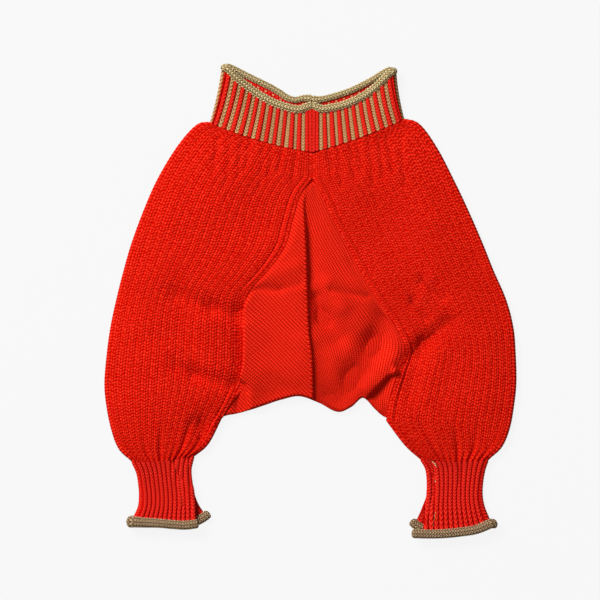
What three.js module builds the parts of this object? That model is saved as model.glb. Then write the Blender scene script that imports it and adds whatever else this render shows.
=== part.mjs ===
// Knitted harem pants for a small child, laid flat: front up, waist towards +Y, back on the surface.
// Sizes are in millimetres. Rows are counted from the waist seam (0) down each leg to the cuff seam (14).

import * as THREE from "three";

// Walls of the knitted pieces, and the gap that a seam leaves between two of them
const seamGap = 0.3;
const backSeamGap = 0.4;
const legWall = 3;
const gussetWall = 2;
const bandWall = 3;
const cuffWall = 2.5;

// Raised ribs on the outside
const legRibs = 16;
const legRibHeight = 0.8;
const bandRibHeight = 0.6;
const cuffRibs = 11;
const cuffRibHeight = 0.9;

// Folds at the sides: radius from the middle of the wall to the middle of the fold
const legFold = 2.1;
const gussetFold = 2.35;
const endFold = 3.45;

// Curled edges: the waist curl is nearly round, the cuff curl lies flatter
const waistCurlWidth = 6.8;
const waistCurlHeight = 6.4;
const cuffCurlWidth = 8.8;
const cuffCurlHeight = 6.6;
const curlSides = 8;

// The front layer rises over the back one, away from the edges
const loftHeight = 2.2;
const loftReach = 20;
const creaseReach = 9;
const cuffSeamLevel = -150;
const cuffTaperLength = 70;

// At its two bottom corners the gusset draws back a little from the leg seams
const cornerInset = 1.05;
const cornerLift = 2.2;

// Rows of the leg grid
const tipRow = 2;
const gussetStart = 2.4;
const cornerRow = 12;
const lastRow = 14;
const sharpRows = [tipRow, cornerRow];
const rowStep = 2 / 3;

// Left leg: side fold, front seam and back seam at each row, and how far the row sags between them
const leftRows = [
  { outerX: -92, outerY: 169, seamX: 2, seamY: 137, backX: 2, backY: 148.5, sag: 4.5 },
  { outerX: -107, outerY: 162, seamX: 2, seamY: 127, backX: 2, backY: 138, sag: 5 },
  { outerX: -124.5, outerY: 142, seamX: 2, seamY: 114, backX: 2, backY: 125, sag: 4 },
  { outerX: -142.5, outerY: 112, seamX: -9.5, seamY: 97, backX: -6.5, backY: 103, sag: 3 },
  { outerX: -155.5, outerY: 82.5, seamX: -16.5, seamY: 74, backX: -16, backY: 78.5, sag: 2 },
  { outerX: -166.5, outerY: 52.5, seamX: -23.5, seamY: 50, backX: -25, backY: 53.5, sag: 1 },
  { outerX: -174, outerY: 26.5, seamX: -39, seamY: 28, backX: -35.5, backY: 28.5, sag: 0 },
  { outerX: -180.5, outerY: 0.5, seamX: -57.5, seamY: 7, backX: -45.5, backY: 3.5, sag: 0 },
  { outerX: -186, outerY: -25.5, seamX: -62.5, seamY: -17, backX: -55, backY: -22, sag: 0 },
  { outerX: -189.5, outerY: -51.5, seamX: -63, seamY: -43, backX: -63, backY: -46, sag: 0 },
  { outerX: -191.5, outerY: -77.5, seamX: -64, seamY: -67.5, backX: -70.5, backY: -70, sag: 0 },
  { outerX: -189.5, outerY: -99, seamX: -70, seamY: -88, backX: -76.5, backY: -90.5, sag: 0 },
  { outerX: -185, outerY: -120.5, seamX: -82, seamY: -109.5, backX: -82, backY: -109.5, sag: 0 },
  { outerX: -178.5, outerY: -137, seamX: -94, seamY: -132.5, backX: -94, backY: -132.5, sag: 1 },
  { outerX: -166.5, outerY: -150, seamX: -108, seamY: -144.5, backX: -108, backY: -144.5, sag: 1.5 },
];

// Right leg, in the same columns
const rightRows = [
  { outerX: 88.5, outerY: 169.5, seamX: 2, seamY: 137, backX: 2, backY: 148.5, sag: 4.5 },
  { outerX: 103, outerY: 163, seamX: 2, seamY: 127, backX: 2, backY: 138, sag: 5 },
  { outerX: 119, outerY: 141, seamX: 2, seamY: 114, backX: 2, backY: 125, sag: 4 },
  { outerX: 135, outerY: 110, seamX: 11, seamY: 97, backX: 10, backY: 103, sag: 3 },
  { outerX: 148, outerY: 82.5, seamX: 21.5, seamY: 74, backX: 19.5, backY: 78.5, sag: 2 },
  { outerX: 161, outerY: 52.5, seamX: 34.5, seamY: 50.5, backX: 29, backY: 53.5, sag: 1 },
  { outerX: 171, outerY: 27.5, seamX: 48.5, seamY: 23.5, backX: 39, backY: 28.5, sag: 0 },
  { outerX: 181.5, outerY: 0.5, seamX: 64, seamY: -1.5, backX: 49.5, backY: 3.5, sag: 0 },
  { outerX: 188, outerY: -25.5, seamX: 79, seamY: -23.5, backX: 58.5, backY: -22, sag: 0 },
  { outerX: 190, outerY: -50.5, seamX: 87.5, seamY: -45, backX: 66, backY: -46, sag: 0 },
  { outerX: 191, outerY: -76, seamX: 81, seamY: -67.5, backX: 71.5, backY: -70, sag: 0 },
  { outerX: 189, outerY: -96.5, seamX: 74.5, seamY: -89, backX: 74.5, backY: -90.5, sag: 0 },
  { outerX: 185, outerY: -117.5, seamX: 70.5, seamY: -111, backX: 70.5, backY: -111, sag: 0 },
  { outerX: 179.5, outerY: -134.5, seamX: 87.5, seamY: -133.5, backX: 87.5, backY: -133.5, sag: 1 },
  { outerX: 166.5, outerY: -148.5, seamX: 103, seamY: -147.5, backX: 103, backY: -147.5, sag: 1.5 },
];

// Cuffs, from the cuff seam down to the curl: at the bottom the back reaches further in than the front
const leftCuffRows = [
  { outerX: -166.5, outerY: -150, seamX: -108, seamY: -144.5, backX: -108, backY: -144.5 },
  { outerX: -162, outerY: -160.5, seamX: -110, seamY: -155, backX: -110, backY: -155 },
  { outerX: -160, outerY: -172.5, seamX: -109.5, seamY: -167, backX: -109.5, backY: -167 },
  { outerX: -159.5, outerY: -182, seamX: -108, seamY: -177, backX: -108, backY: -177 },
  { outerX: -160.5, outerY: -192, seamX: -106.5, seamY: -189, backX: -104.5, backY: -188 },
  { outerX: -164.5, outerY: -200, seamX: -105.5, seamY: -202, backX: -99, backY: -196 },
];
const rightCuffRows = [
  { outerX: 166.5, outerY: -148.5, seamX: 103, seamY: -147.5, backX: 103, backY: -147.5 },
  { outerX: 163.5, outerY: -157.5, seamX: 107.5, seamY: -156, backX: 107.5, backY: -156 },
  { outerX: 161.5, outerY: -169, seamX: 109, seamY: -168, backX: 109, backY: -168 },
  { outerX: 161, outerY: -181, seamX: 108.5, seamY: -180, backX: 108.5, backY: -180 },
  { outerX: 163, outerY: -192, seamX: 106.5, seamY: -193, backX: 104.5, backY: -192 },
  { outerX: 167.5, outerY: -201.5, seamX: 105, seamY: -209, backX: 99, backY: -202 },
];

// How far the inseam closes the cuff at each of its rows: the last stretch above the curl stays open
const cuffClosing = [1, 1, 1, 1, 0.5, 0];

// Middle lines of the cuff curls in plan, from the inseam to the side fold, on the front and on the back
const cuffCurls = {
  left: {
    front: [
      { x: -103, y: -206.6 },
      { x: -115, y: -208.2 },
      { x: -127, y: -207.6 },
      { x: -140, y: -206.4 },
      { x: -152, y: -205.8 },
      { x: -163, y: -205.2 },
    ],
    back: [
      { x: -93.5, y: -197 },
      { x: -99, y: -201.5 },
      { x: -107, y: -205.4 },
      { x: -119, y: -207.4 },
      { x: -140, y: -206.4 },
      { x: -163, y: -205.2 },
    ],
  },
  right: {
    front: [
      { x: 94, y: -216 },
      { x: 110, y: -216.4 },
      { x: 125.5, y: -216 },
      { x: 140, y: -214.5 },
      { x: 154, y: -212.2 },
      { x: 167, y: -207 },
    ],
    back: [
      { x: 94, y: -204 },
      { x: 98.5, y: -208.5 },
      { x: 107, y: -212.6 },
      { x: 122, y: -214.6 },
      { x: 140, y: -214 },
      { x: 167, y: -207 },
    ],
  },
};

// Bottom edge of the gusset, where its front folds round to its back
const crotchEdge = [
  { x: -82, y: -109.5 },
  { x: -58.5, y: -103.5 },
  { x: -44.5, y: -98 },
  { x: -28, y: -92.5 },
  { x: -9.5, y: -89 },
  { x: 9.5, y: -95.5 },
  { x: 26, y: -103.5 },
  { x: 38, y: -99 },
  { x: 49.5, y: -90.5 },
  { x: 62.5, y: -103.5 },
  { x: 70.5, y: -111 },
];

// Pleat down the middle of the gusset: where its edge lies, from the tip to the bottom
const pleatLine = [
  { x: -6.5, y: 104 },
  { x: -4.5, y: 65 },
  { x: -3.5, y: 10 },
  { x: -2, y: -27.5 },
  { x: 1, y: -55.5 },
  { x: 2, y: -90.5 },
];
const pleatWidth = 3;
const pleatRise = 2.3;
const pleatRiseReach = 34;
const pleatFall = 1.5;
const pleatFallReach = 14;
const pleatFirstRow = 2.6;
const pleatFullRow = 5;

// Folds of the gusset over the two legs, at the left seam and across its lower right corner
const leftFoldRise = 2;
const leftFoldWidth = 4.5;
const leftFoldReach = 22;
const rightFoldFall = 1.8;
const rightFoldWidth = 6;
const rightFoldRidge = 0.9;
const rightRidgeWidth = 10;
const rightFold = { fromX: 90, fromY: -50, toX: 49.5, toY: -89 };

// Largest creases of the front, each a soft trough between two points
const creases = [
  { fromX: -120, fromY: 10, toX: -91, toY: -3, width: 8, rise: -1.4 },
  { fromX: -91, fromY: -3, toX: -64, toY: -12, width: 8, rise: -1.4 },
  { fromX: -119, fromY: -59, toX: -110, toY: -65, width: 7, rise: -1.1 },
  { fromX: -110, fromY: -65, toX: -68, toY: -77, width: 7, rise: -1.4 },
  { fromX: -102, fromY: -112, toX: -100, toY: -123, width: 7, rise: -1.2 },
  { fromX: 104, fromY: 18, toX: 122, toY: 2.5, width: 6, rise: -1 },
  { fromX: 95, fromY: -1.5, toX: 107, toY: -16, width: 6, rise: -1 },
  { fromX: 125, fromY: -21, toX: 90, toY: -50, width: 9, rise: -1.3 },
  { fromX: 61, fromY: -34, toX: 26, toY: -69, width: 9, rise: -1.6 },
  { fromX: 26, fromY: -69, toX: 10, toY: -88, width: 7, rise: -1.4 },
  { fromX: 23, fromY: 7, toX: 51, toY: 2, width: 5, rise: -0.7 },
];

// Gathers: rows of short upright creases under the waistband and above the cuffs
const gathers = [
  { firstX: -84, lastX: -14, count: 6, topY: 148, length: 38, slant: -0.12, rise: -0.8 },
  { firstX: 16, lastX: 82, count: 6, topY: 148, length: 38, slant: 0.12, rise: -0.8 },
  { firstX: -158, lastX: -116, count: 4, topY: -104, length: 40, slant: 0.1, rise: -0.9 },
  { firstX: 114, lastX: 158, count: 4, topY: -102, length: 42, slant: -0.1, rise: -0.9 },
];
const gatherWidth = 3.4;

// Waistband: width of its stripes at the seam, and how high its top edge stands
const seamWale = 3.7;
const stripePitch = 7.8;
const tanShare = 0.48;
const waistMiddleX = 2;
const cornerClearance = 1.1;
const bandRows = 4;
const frontTopY = 177.5;
const backTopY = 186;
const waistSides = {
  left: { stripes: 11, edgeX: -82, frontRise: 37, frontPower: 1.9, backRise: 30, backPower: 1.35 },
  right: { stripes: 10, edgeX: 80, frontRise: 35, frontPower: 2.3, backRise: 30, backPower: 1.5 },
};

const { lerp, clamp, smoothstep } = THREE.MathUtils;

const redKnit = new THREE.MeshStandardMaterial({ color: 0xd8200f, roughness: 0.92, metalness: 0 });
const gussetKnit = new THREE.MeshStandardMaterial({ color: 0xda2011, roughness: 0.9, metalness: 0 });
const cuffKnit = new THREE.MeshStandardMaterial({ color: 0xc52218, roughness: 0.92, metalness: 0 });
const tanKnit = new THREE.MeshStandardMaterial({ color: 0xc59a6a, roughness: 0.94, metalness: 0 });

// Smooth value of one column of a table at a row between its rows. The seams turn sharply at the gusset's tip and
// at its corners, so nothing beyond such a row is felt before it.
function spline(table, column, row) {
  const last = table.length - 1;
  const i = clamp(Math.floor(row), 0, last - 1);
  const t = row - i;
  const sharp = (k) => table[k].sag !== undefined && !column.startsWith("outer") && sharpRows.includes(k);
  const b = table[i][column];
  const c = table[i + 1][column];
  const a = i === 0 || sharp(i) ? 2 * b - c : table[i - 1][column];
  const d = i + 2 > last || sharp(i + 1) ? 2 * c - b : table[i + 2][column];
  return b + 0.5 * t * (c - a + t * (2 * a - 5 * b + 4 * c - d + t * (3 * (b - c) + d - a)));
}

// Value of one column on the straight stretch between two rows of the leg grid
function chord(table, column, row) {
  const k = clamp(Math.floor(row / rowStep + 1e-6), 0, Math.round(lastRow / rowStep) - 1);
  const from = spline(table, column, k * rowStep);
  const to = spline(table, column, (k + 1) * rowStep);
  return lerp(from, to, row / rowStep - k);
}

// Value of a line's column at a place along its other column
function along(line, by, place, column) {
  const rising = line[1][by] > line[0][by];
  let i = 0;
  while (i < line.length - 2 && (rising ? place > line[i + 1][by] : place < line[i + 1][by])) i += 1;
  const t = clamp((place - line[i][by]) / (line[i + 1][by] - line[i][by]), 0, 1);
  return spline(line, column, i + t);
}

function planPoint(table, xColumn, yColumn, row) {
  return new THREE.Vector2(spline(table, xColumn, row), spline(table, yColumn, row));
}

function distanceToSegment(x, y, a, b) {
  const dx = b.x - a.x;
  const dy = b.y - a.y;
  const t = clamp(((x - a.x) * dx + (y - a.y) * dy) / (dx * dx + dy * dy), 0, 1);
  return Math.hypot(x - a.x - t * dx, y - a.y - t * dy);
}

// Edges of the garment in plan, apart from the waist and the ends of the cuffs
function tracePlan(table, xColumn, yColumn, fromRow, toRow) {
  const points = [];
  for (let row = fromRow; row <= toRow + 1e-6; row += 0.5) points.push(planPoint(table, xColumn, yColumn, row));
  return points;
}
const lastCuffRow = leftCuffRows.length - 1;
const edges = [
  tracePlan(leftRows, "outerX", "outerY", 0, lastRow),
  tracePlan(rightRows, "outerX", "outerY", 0, lastRow),
  tracePlan(leftRows, "seamX", "seamY", cornerRow, lastRow),
  tracePlan(rightRows, "seamX", "seamY", cornerRow, lastRow),
  tracePlan(leftCuffRows, "outerX", "outerY", 0, lastCuffRow),
  tracePlan(leftCuffRows, "seamX", "seamY", 0, lastCuffRow),
  tracePlan(rightCuffRows, "outerX", "outerY", 0, lastCuffRow),
  tracePlan(rightCuffRows, "seamX", "seamY", 0, lastCuffRow),
  tracePlan(crotchEdge, "x", "y", 0, crotchEdge.length - 1),
];

function distanceToEdge(x, y) {
  let nearest = Infinity;
  for (const edge of edges) {
    for (let i = 1; i < edge.length; i += 1) {
      nearest = Math.min(nearest, distanceToSegment(x, y, edge[i - 1], edge[i]));
    }
  }
  return nearest;
}

function bump(distance, width) {
  return Math.exp(-((distance / width) ** 2));
}

function creaseRise(x, y) {
  let rise = 0;
  for (const c of creases) {
    const d = distanceToSegment(x, y, { x: c.fromX, y: c.fromY }, { x: c.toX, y: c.toY });
    rise += c.rise * bump(d, c.width);
  }
  for (const g of gathers) {
    for (let k = 0; k < g.count; k += 1) {
      const topX = lerp(g.firstX, g.lastX, k / (g.count - 1));
      const length = g.length * (k % 2 ? 0.75 : 1);
      const from = { x: topX, y: g.topY };
      const to = { x: topX + g.slant * length * (k % 2 ? 1.5 : 1), y: g.topY - length };
      rise += g.rise * bump(distanceToSegment(x, y, from, to), gatherWidth);
    }
  }
  return rise;
}

// Height of the middle of the front layer over the surface that the garment lies on
const foldTop = legWall / 2 + 2 * legFold;
function frontLevel(x, y) {
  const d = distanceToEdge(x, y);
  const taper = smoothstep(y, cuffSeamLevel, cuffSeamLevel + cuffTaperLength);
  return foldTop + loftHeight * (1 - bump(d, loftReach)) * taper + creaseRise(x, y) * (1 - bump(d, creaseReach));
}

// One closed wall round a grid of middle points. Every column shapes the outside; the inside takes only the
// columns marked inside, so that ribs stand on a plain wall. steer may turn a normal at a seam.
function wallMesh(name, grid, columns, wall, material, steer) {
  const rows = grid.length;
  const last = columns.length - 1;
  const side = new THREE.Vector3();
  const down = new THREE.Vector3();
  const normals = grid.map((line, i) => line.map((point, j) => {
    side.subVectors(line[Math.min(j + 1, last)], line[Math.max(j - 1, 0)]);
    down.subVectors(grid[Math.min(i + 1, rows - 1)][j], grid[Math.max(i - 1, 0)][j]);
    return new THREE.Vector3().crossVectors(side, down).normalize();
  }));
  const turn = normals[Math.floor(rows / 2)][Math.floor(last / 4)].z < 0 ? -1 : 1;
  const vertices = [];
  const place = (point, normal, offset) => {
    const p = point.clone().addScaledVector(normal, offset);
    vertices.push(p.x, p.y, p.z);
    return vertices.length / 3 - 1;
  };
  const outer = [];
  const inner = [];
  const insideColumns = columns.map((c, j) => j).filter((j) => columns[j].inside);
  for (let i = 0; i < rows; i += 1) {
    const steered = normals[i].map((n, j) => steer(n.multiplyScalar(turn), i, j).normalize());
    outer.push(grid[i].map((p, j) => place(p, steered[j], wall / 2 + columns[j].relief)));
    inner.push(insideColumns.map((j) => place(grid[i][j], steered[j], -wall / 2)));
  }
  const triangles = [];
  const quad = (a, b, c, d) => triangles.push(a, b, c, a, c, d);
  for (let i = 1; i < rows; i += 1) {
    for (let j = 1; j <= last; j += 1) quad(outer[i - 1][j - 1], outer[i - 1][j], outer[i][j], outer[i][j - 1]);
    for (let k = 1; k < insideColumns.length; k += 1) {
      quad(inner[i - 1][k], inner[i - 1][k - 1], inner[i][k - 1], inner[i][k]);
    }
    quad(outer[i - 1][0], outer[i][0], inner[i][0], inner[i - 1][0]);
    const end = insideColumns.length - 1;
    quad(outer[i][last], outer[i - 1][last], inner[i - 1][end], inner[i][end]);
  }
  for (const i of [0, rows - 1]) {
    const strip = [];
    for (let k = 1; k < insideColumns.length; k += 1) {
      for (let j = insideColumns[k - 1]; j < insideColumns[k]; j += 1) {
        strip.push([inner[i][k - 1], outer[i][j + 1], outer[i][j]]);
      }
      strip.push([inner[i][k - 1], inner[i][k], outer[i][insideColumns[k]]]);
    }
    for (const [a, b, c] of strip) triangles.push(a, i ? c : b, i ? b : c);
  }
  if (turn < 0) {
    for (let t = 0; t < triangles.length; t += 3) {
      [triangles[t + 1], triangles[t + 2]] = [triangles[t + 2], triangles[t + 1]];
    }
  }
  return namedMesh(name, vertices, triangles, material);
}

function namedMesh(name, vertices, triangles, material) {
  const geometry = new THREE.BufferGeometry();
  geometry.setAttribute("position", new THREE.Float32BufferAttribute(vertices, 3));
  geometry.setIndex(triangles);
  geometry.computeVertexNormals();
  const mesh = new THREE.Mesh(geometry, material);
  mesh.name = name;
  return mesh;
}

// Columns of a folded panel: round its front edge, across the front, round the side fold, across the back
const arcSteps = 3;
const backSteps = 4;
function panelColumns(frontPlaces, plainEvery) {
  const columns = [];
  for (let k = 0; k < arcSteps; k += 1) {
    columns.push({ zone: "frontEdge", at: k / arcSteps, relief: 0, inside: true });
  }
  frontPlaces.forEach(({ at, relief }, m) => {
    const inside = m % plainEvery === 0 || m === frontPlaces.length - 1;
    columns.push({ zone: "front", at, relief, inside });
  });
  for (let k = 1; k <= arcSteps; k += 1) {
    columns.push({ zone: "fold", at: k / (arcSteps + 1), relief: 0, inside: true });
  }
  for (let k = 0; k <= backSteps; k += 1) {
    columns.push({ zone: "back", at: k / backSteps, relief: 0, inside: true });
  }
  for (let k = arcSteps - 1; k >= 0; k -= 1) {
    columns.push({ zone: "backEdge", at: k / arcSteps, relief: 0, inside: true });
  }
  return columns;
}

// A rib is three columns: a narrow valley and a broad ridge
function ribPlaces(ribs, height) {
  const places = [];
  for (let m = 0; m <= ribs * 3; m += 1) places.push({ at: m / (ribs * 3), relief: m % 3 ? height : 0 });
  return places;
}

// Middle point of a folded panel. section holds its plan points, fold radius, wall, heights, and closed, which
// turns its two long edges round to meet each other at an inseam.
function panelPoint(section, column) {
  const { seam, outer, back, radius, wall, sag, closed, level } = section;
  const middle = wall / 2 + radius;
  const outward = outer.clone().sub(seam).normalize();
  const backOutward = outer.clone().sub(back).normalize();
  const foldOutward = outward.clone().add(backOutward).normalize();
  const fold = outer.clone().addScaledVector(foldOutward, -(radius + wall / 2));
  const edgeArc = (Math.PI / 2) * radius;
  const flatStart = (from, direction, at) => from.clone().addScaledVector(direction, seamGap / 2 + at * edgeArc);
  const roundStart = (from, direction, angle) =>
    from.clone().addScaledVector(direction, radius * (1 - Math.sin(angle)) + wall / 2);
  const sagged = (plan, at) => plan.setY(plan.y - 4 * sag * at * (1 - at));
  const edge = (from, direction, at, flatZ, roundZ) => {
    const angle = (Math.PI / 2) * (1 - at);
    const flat = flatStart(from, direction, at);
    const round = roundStart(from, direction, angle);
    const plan = flat.clone().lerp(round, closed);
    return new THREE.Vector3(plan.x, plan.y, lerp(flatZ(flat), roundZ(round, angle), closed));
  };
  const frontEdge = (at) => edge(seam, outward, at, (p) => level(p.x, p.y), (p, angle) =>
    middle + seamGap / 2 + (level(p.x, p.y) - middle - seamGap / 2) * Math.cos(angle));
  const backEdge = (at) => edge(back, backOutward, at, () => wall / 2, (p, angle) =>
    middle - seamGap / 2 - (radius - seamGap / 2) * Math.cos(angle));
  if (column.zone === "frontEdge") return frontEdge(column.at);
  if (column.zone === "backEdge") return backEdge(column.at);
  if (column.zone === "front") {
    const start = frontEdge(1);
    const plan = sagged(new THREE.Vector2(start.x, start.y).lerp(fold, column.at), column.at);
    return new THREE.Vector3(plan.x, plan.y, level(plan.x, plan.y));
  }
  if (column.zone === "back") {
    const end = backEdge(1);
    const plan = sagged(fold.clone().lerp(new THREE.Vector2(end.x, end.y), column.at), 1 - column.at);
    return new THREE.Vector3(plan.x, plan.y, wall / 2);
  }
  const angle = Math.PI * column.at;
  const plan = fold.clone().addScaledVector(foldOutward, radius * Math.sin(angle));
  const top = angle < Math.PI / 2 ? level(fold.x, fold.y) - middle : radius;
  return new THREE.Vector3(plan.x, plan.y, middle + top * Math.cos(angle));
}

// Direction in which the wall faces where leg and gusset meet at the end of the inseam
function cornerNormal(table) {
  const corner = planPoint(table, "seamX", "seamY", cornerRow);
  const inseam = planPoint(table, "seamX", "seamY", cornerRow + rowStep).sub(corner);
  const awayFromLeg = Math.sign(corner.x - table[cornerRow].outerX);
  const fromInseam = new THREE.Vector2(-inseam.y, inseam.x).multiplyScalar(awayFromLeg).normalize();
  const sum = fromInseam.add(new THREE.Vector2(0, -1)).normalize();
  return new THREE.Vector3(sum.x, sum.y, 0);
}

const up = new THREE.Vector3(0, 0, 1);
const under = new THREE.Vector3(0, 0, -1);

function legPanel(name, table) {
  const columns = panelColumns(ribPlaces(legRibs, legRibHeight), 6);
  const rows = Math.round(lastRow / rowStep);
  const grid = [];
  for (let i = 0; i <= rows; i += 1) {
    const row = i * rowStep;
    const section = {
      seam: planPoint(table, "seamX", "seamY", row),
      outer: planPoint(table, "outerX", "outerY", row),
      back: planPoint(table, "backX", "backY", row),
      radius: legFold,
      wall: legWall,
      sag: spline(table, "sag", row),
      closed: row > cornerRow - 0.1 ? 1 : 0,
      level: frontLevel,
    };
    const seamShift = i === 0 ? -seamGap / 2 : i === rows ? seamGap / 2 : 0;
    grid.push(columns.map((c) => panelPoint(section, c).add(new THREE.Vector3(0, seamShift, 0))));
  }
  const corner = cornerNormal(table);
  return wallMesh(name, grid, columns, legWall, redKnit, (normal, i, j) => {
    const row = i * rowStep;
    const edge = j === 0 || j === columns.length - 1;
    if (columns[j].zone === "back") return normal.copy(under);
    if (edge && row < cornerRow - 0.1) return normal.copy(j ? under : up);
    if (edge && row < cornerRow + 0.1) return normal.copy(corner);
    if (edge) return i === rows ? normal.setZ(0).setY(0) : normal.setZ(0);
    if (columns[j].zone === "backEdge" && row < cornerRow - 0.1) return normal.copy(under);
    if (i === 0 || i === rows) return normal.setY(0);
    return normal;
  });
}

// Gusset columns: close together at the left fold and across the middle pleat
const leftPlaces = [0, 0.03, 0.07, 0.14, 0.26, 0.42, 0.6, 0.78, 0.92];
const pleatPlaces = [-0.5, -0.17, 0.17, 0.5];
const rightPlaces = [0.05, 0.12, 0.22, 0.33, 0.45, 0.57, 0.69, 0.8, 0.9, 1];

// Lines of the gusset's grid lie closer together below this row
const fineRow = 6;

// Its bottom fold in eighths of a turn, and how far along the last stretch of the leg seams each line starts
const bottomFold = [
  { layer: "front", eighths: 0, seamShare: 0.75 },
  { layer: "front", eighths: 1, seamShare: 0.9 },
  { layer: "front", eighths: 2, seamShare: 1 },
  { layer: "back", eighths: 3, seamShare: 0.9 },
  { layer: "back", eighths: 4, seamShare: 0.75 },
];

function seamPoint(table, layer, row) {
  const x = layer === "front" ? "seamX" : "backX";
  const y = layer === "front" ? "seamY" : "backY";
  return new THREE.Vector2(chord(table, x, row), chord(table, y, row));
}

// Signed distance to the lower right fold, positive below it
function belowRightFold(x, y) {
  const dx = rightFold.toX - rightFold.fromX;
  const dy = rightFold.toY - rightFold.fromY;
  return ((x - rightFold.fromX) * -dy + (y - rightFold.fromY) * dx) / Math.hypot(dx, dy);
}

function gussetRise(x, y, row, fromLeftSeam) {
  const pleat = smoothstep(row, pleatFirstRow, pleatFullRow);
  const aside = x - along(pleatLine, "y", y, "x");
  let rise = 0;
  const beyond = Math.abs(aside) - pleatWidth / 2;
  if (beyond < 0) rise = pleat * lerp(pleatRise, -pleatFall, aside / pleatWidth + 0.5);
  else if (aside < 0) rise = pleat * pleatRise * bump(beyond, pleatRiseReach);
  else rise = -pleat * pleatFall * bump(beyond, pleatFallReach);
  const leftFold = smoothstep(row, 6.2, 7.2) * (1 - smoothstep(row, 10, 11));
  const pastFold = Math.max(fromLeftSeam - leftFoldWidth, 0);
  rise += leftFold * leftFoldRise * smoothstep(fromLeftSeam, 0, leftFoldWidth) * bump(pastFold, leftFoldReach);
  const below = belowRightFold(x, y);
  const reach = smoothstep(x, 40, 52) * smoothstep(-y, 40, 60);
  if (below < 0) rise += reach * rightFoldRidge * bump(below, rightRidgeWidth);
  rise -= reach * rightFoldFall * smoothstep(below, -1, rightFoldWidth);
  return rise;
}

// One row of the gusset. drop is the angle round the bottom fold, 0 on the front and half a turn on the back.
function gussetLine({ row, layer, drop, seamRow }) {
  const left = seamPoint(leftRows, layer, row);
  const right = seamPoint(rightRows, layer, row);
  const depth = (row - gussetStart) / (cornerRow - gussetStart);
  const middle = gussetWall / 2 + gussetFold;
  const bend = gussetFold + gussetWall / 2;
  const plainPoint = (x) => {
    const u = clamp((x - left.x) / (right.x - left.x), 0, 1);
    const edgeX = lerp(crotchEdge[0].x, crotchEdge.at(-1).x, u);
    const edgeY = along(crotchEdge, "x", edgeX, "y") + bend;
    const lineY = lerp(crotchEdge[0].y, crotchEdge.at(-1).y, u) + bend * depth;
    const bottomShift = (edgeY - lineY) * depth ** 2;
    const y = lerp(left.y, right.y, u) + bottomShift;
    return new THREE.Vector2(x, y);
  };
  const point = (x) => {
    const plan = plainPoint(x);
    if (layer === "back" && !drop) return new THREE.Vector3(plan.x, plan.y, gussetWall / 2);
    const top = frontLevel(plan.x, plan.y) + gussetRise(plan.x, plan.y, row, plan.x - left.x);
    if (!drop) return new THREE.Vector3(plan.x, plan.y, top);
    const height = drop < Math.PI / 2 ? top - middle : gussetFold;
    const y = plan.y - gussetFold * Math.sin(drop);
    return new THREE.Vector3(plan.x, y, middle + height * Math.cos(drop));
  };
  const actualSeam = (table) => {
    const seamPlan = seamPoint(table, layer, seamRow);
    const inward = -Math.sign(table[cornerRow].seamX);
    const share = clamp((seamRow - (cornerRow - rowStep)) / rowStep, 0, 1);
    const flatZ = layer === "front" ? frontLevel(seamPlan.x, seamPlan.y) : gussetWall / 2;
    const inset = (layer === "front" ? seamGap : backSeamGap) / 2 + cornerInset * share;
    return new THREE.Vector3(seamPlan.x + inward * inset, seamPlan.y + cornerLift * share, lerp(flatZ, middle, share));
  };
  const span = right.x - left.x;
  const pleatX = clamp(along(pleatLine, "y", plainPoint(0).y, "x"), left.x + 0.25 * span, left.x + 0.7 * span);
  const width = Math.min(pleatWidth, 0.25 * span);
  const places = [
    ...leftPlaces.map((t) => lerp(left.x, pleatX - width / 2, t)),
    ...pleatPlaces.map((t) => pleatX + t * width),
    ...rightPlaces.map((t) => lerp(pleatX + width / 2, right.x, t)),
  ];
  const line = places.map(point);
  const ends = [
    { from: line[0].clone(), to: actualSeam(leftRows) },
    { from: line.at(-1).clone(), to: actualSeam(rightRows) },
  ];
  const seamReach = Math.min(9, 0.3 * span);
  return line.map((p) => {
    const moved = p.clone();
    for (const { from, to } of ends) {
      const share = 1 - smoothstep(Math.abs(p.x - from.x), 0, seamReach);
      moved.addScaledVector(to.clone().sub(from), share);
    }
    return moved;
  });
}

function gusset() {
  const columnCount = leftPlaces.length + pleatPlaces.length + rightPlaces.length;
  const columns = Array.from({ length: columnCount }, () => ({ relief: 0, inside: true }));
  const lines = [{ row: gussetStart, layer: "front", drop: 0, seamRow: gussetStart }];
  const steps = Math.round((cornerRow - tipRow) / rowStep);
  for (let k = 2; k <= 2 * (steps - 1); k += 1) {
    const row = tipRow + (k * rowStep) / 2;
    if (row > fineRow || k % 2 === 0) lines.push({ row, layer: "front", drop: 0, seamRow: row });
  }
  lines.push({ row: cornerRow - rowStep / 2, layer: "front", drop: 0, seamRow: cornerRow - rowStep / 2 });
  for (const { layer, eighths, seamShare } of bottomFold) {
    lines.push({ row: cornerRow, layer, drop: (Math.PI / 4) * eighths, seamRow: cornerRow - rowStep * (1 - seamShare) });
  }
  for (let k = steps - 1; k > 0; k -= 1) {
    const row = tipRow + k * rowStep;
    lines.push({ row, layer: "back", drop: 0, seamRow: row });
  }
  lines.push({ row: gussetStart, layer: "back", drop: 0, seamRow: gussetStart });
  const grid = lines.map(gussetLine);
  const corners = [cornerNormal(leftRows), cornerNormal(rightRows)];
  return wallMesh("gusset", grid, columns, gussetWall, gussetKnit, (normal, i, j) => {
    const { layer, drop, seamRow } = lines[i];
    if (layer === "back" && drop < 0.1) return normal.copy(under);
    if (j === 0 || j === columnCount - 1) {
      const share = clamp((seamRow - (cornerRow - rowStep)) / rowStep, 0, 1);
      return normal.copy(layer === "front" ? up : under).lerp(corners[j ? 1 : 0], share);
    }
    return normal;
  });
}

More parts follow.
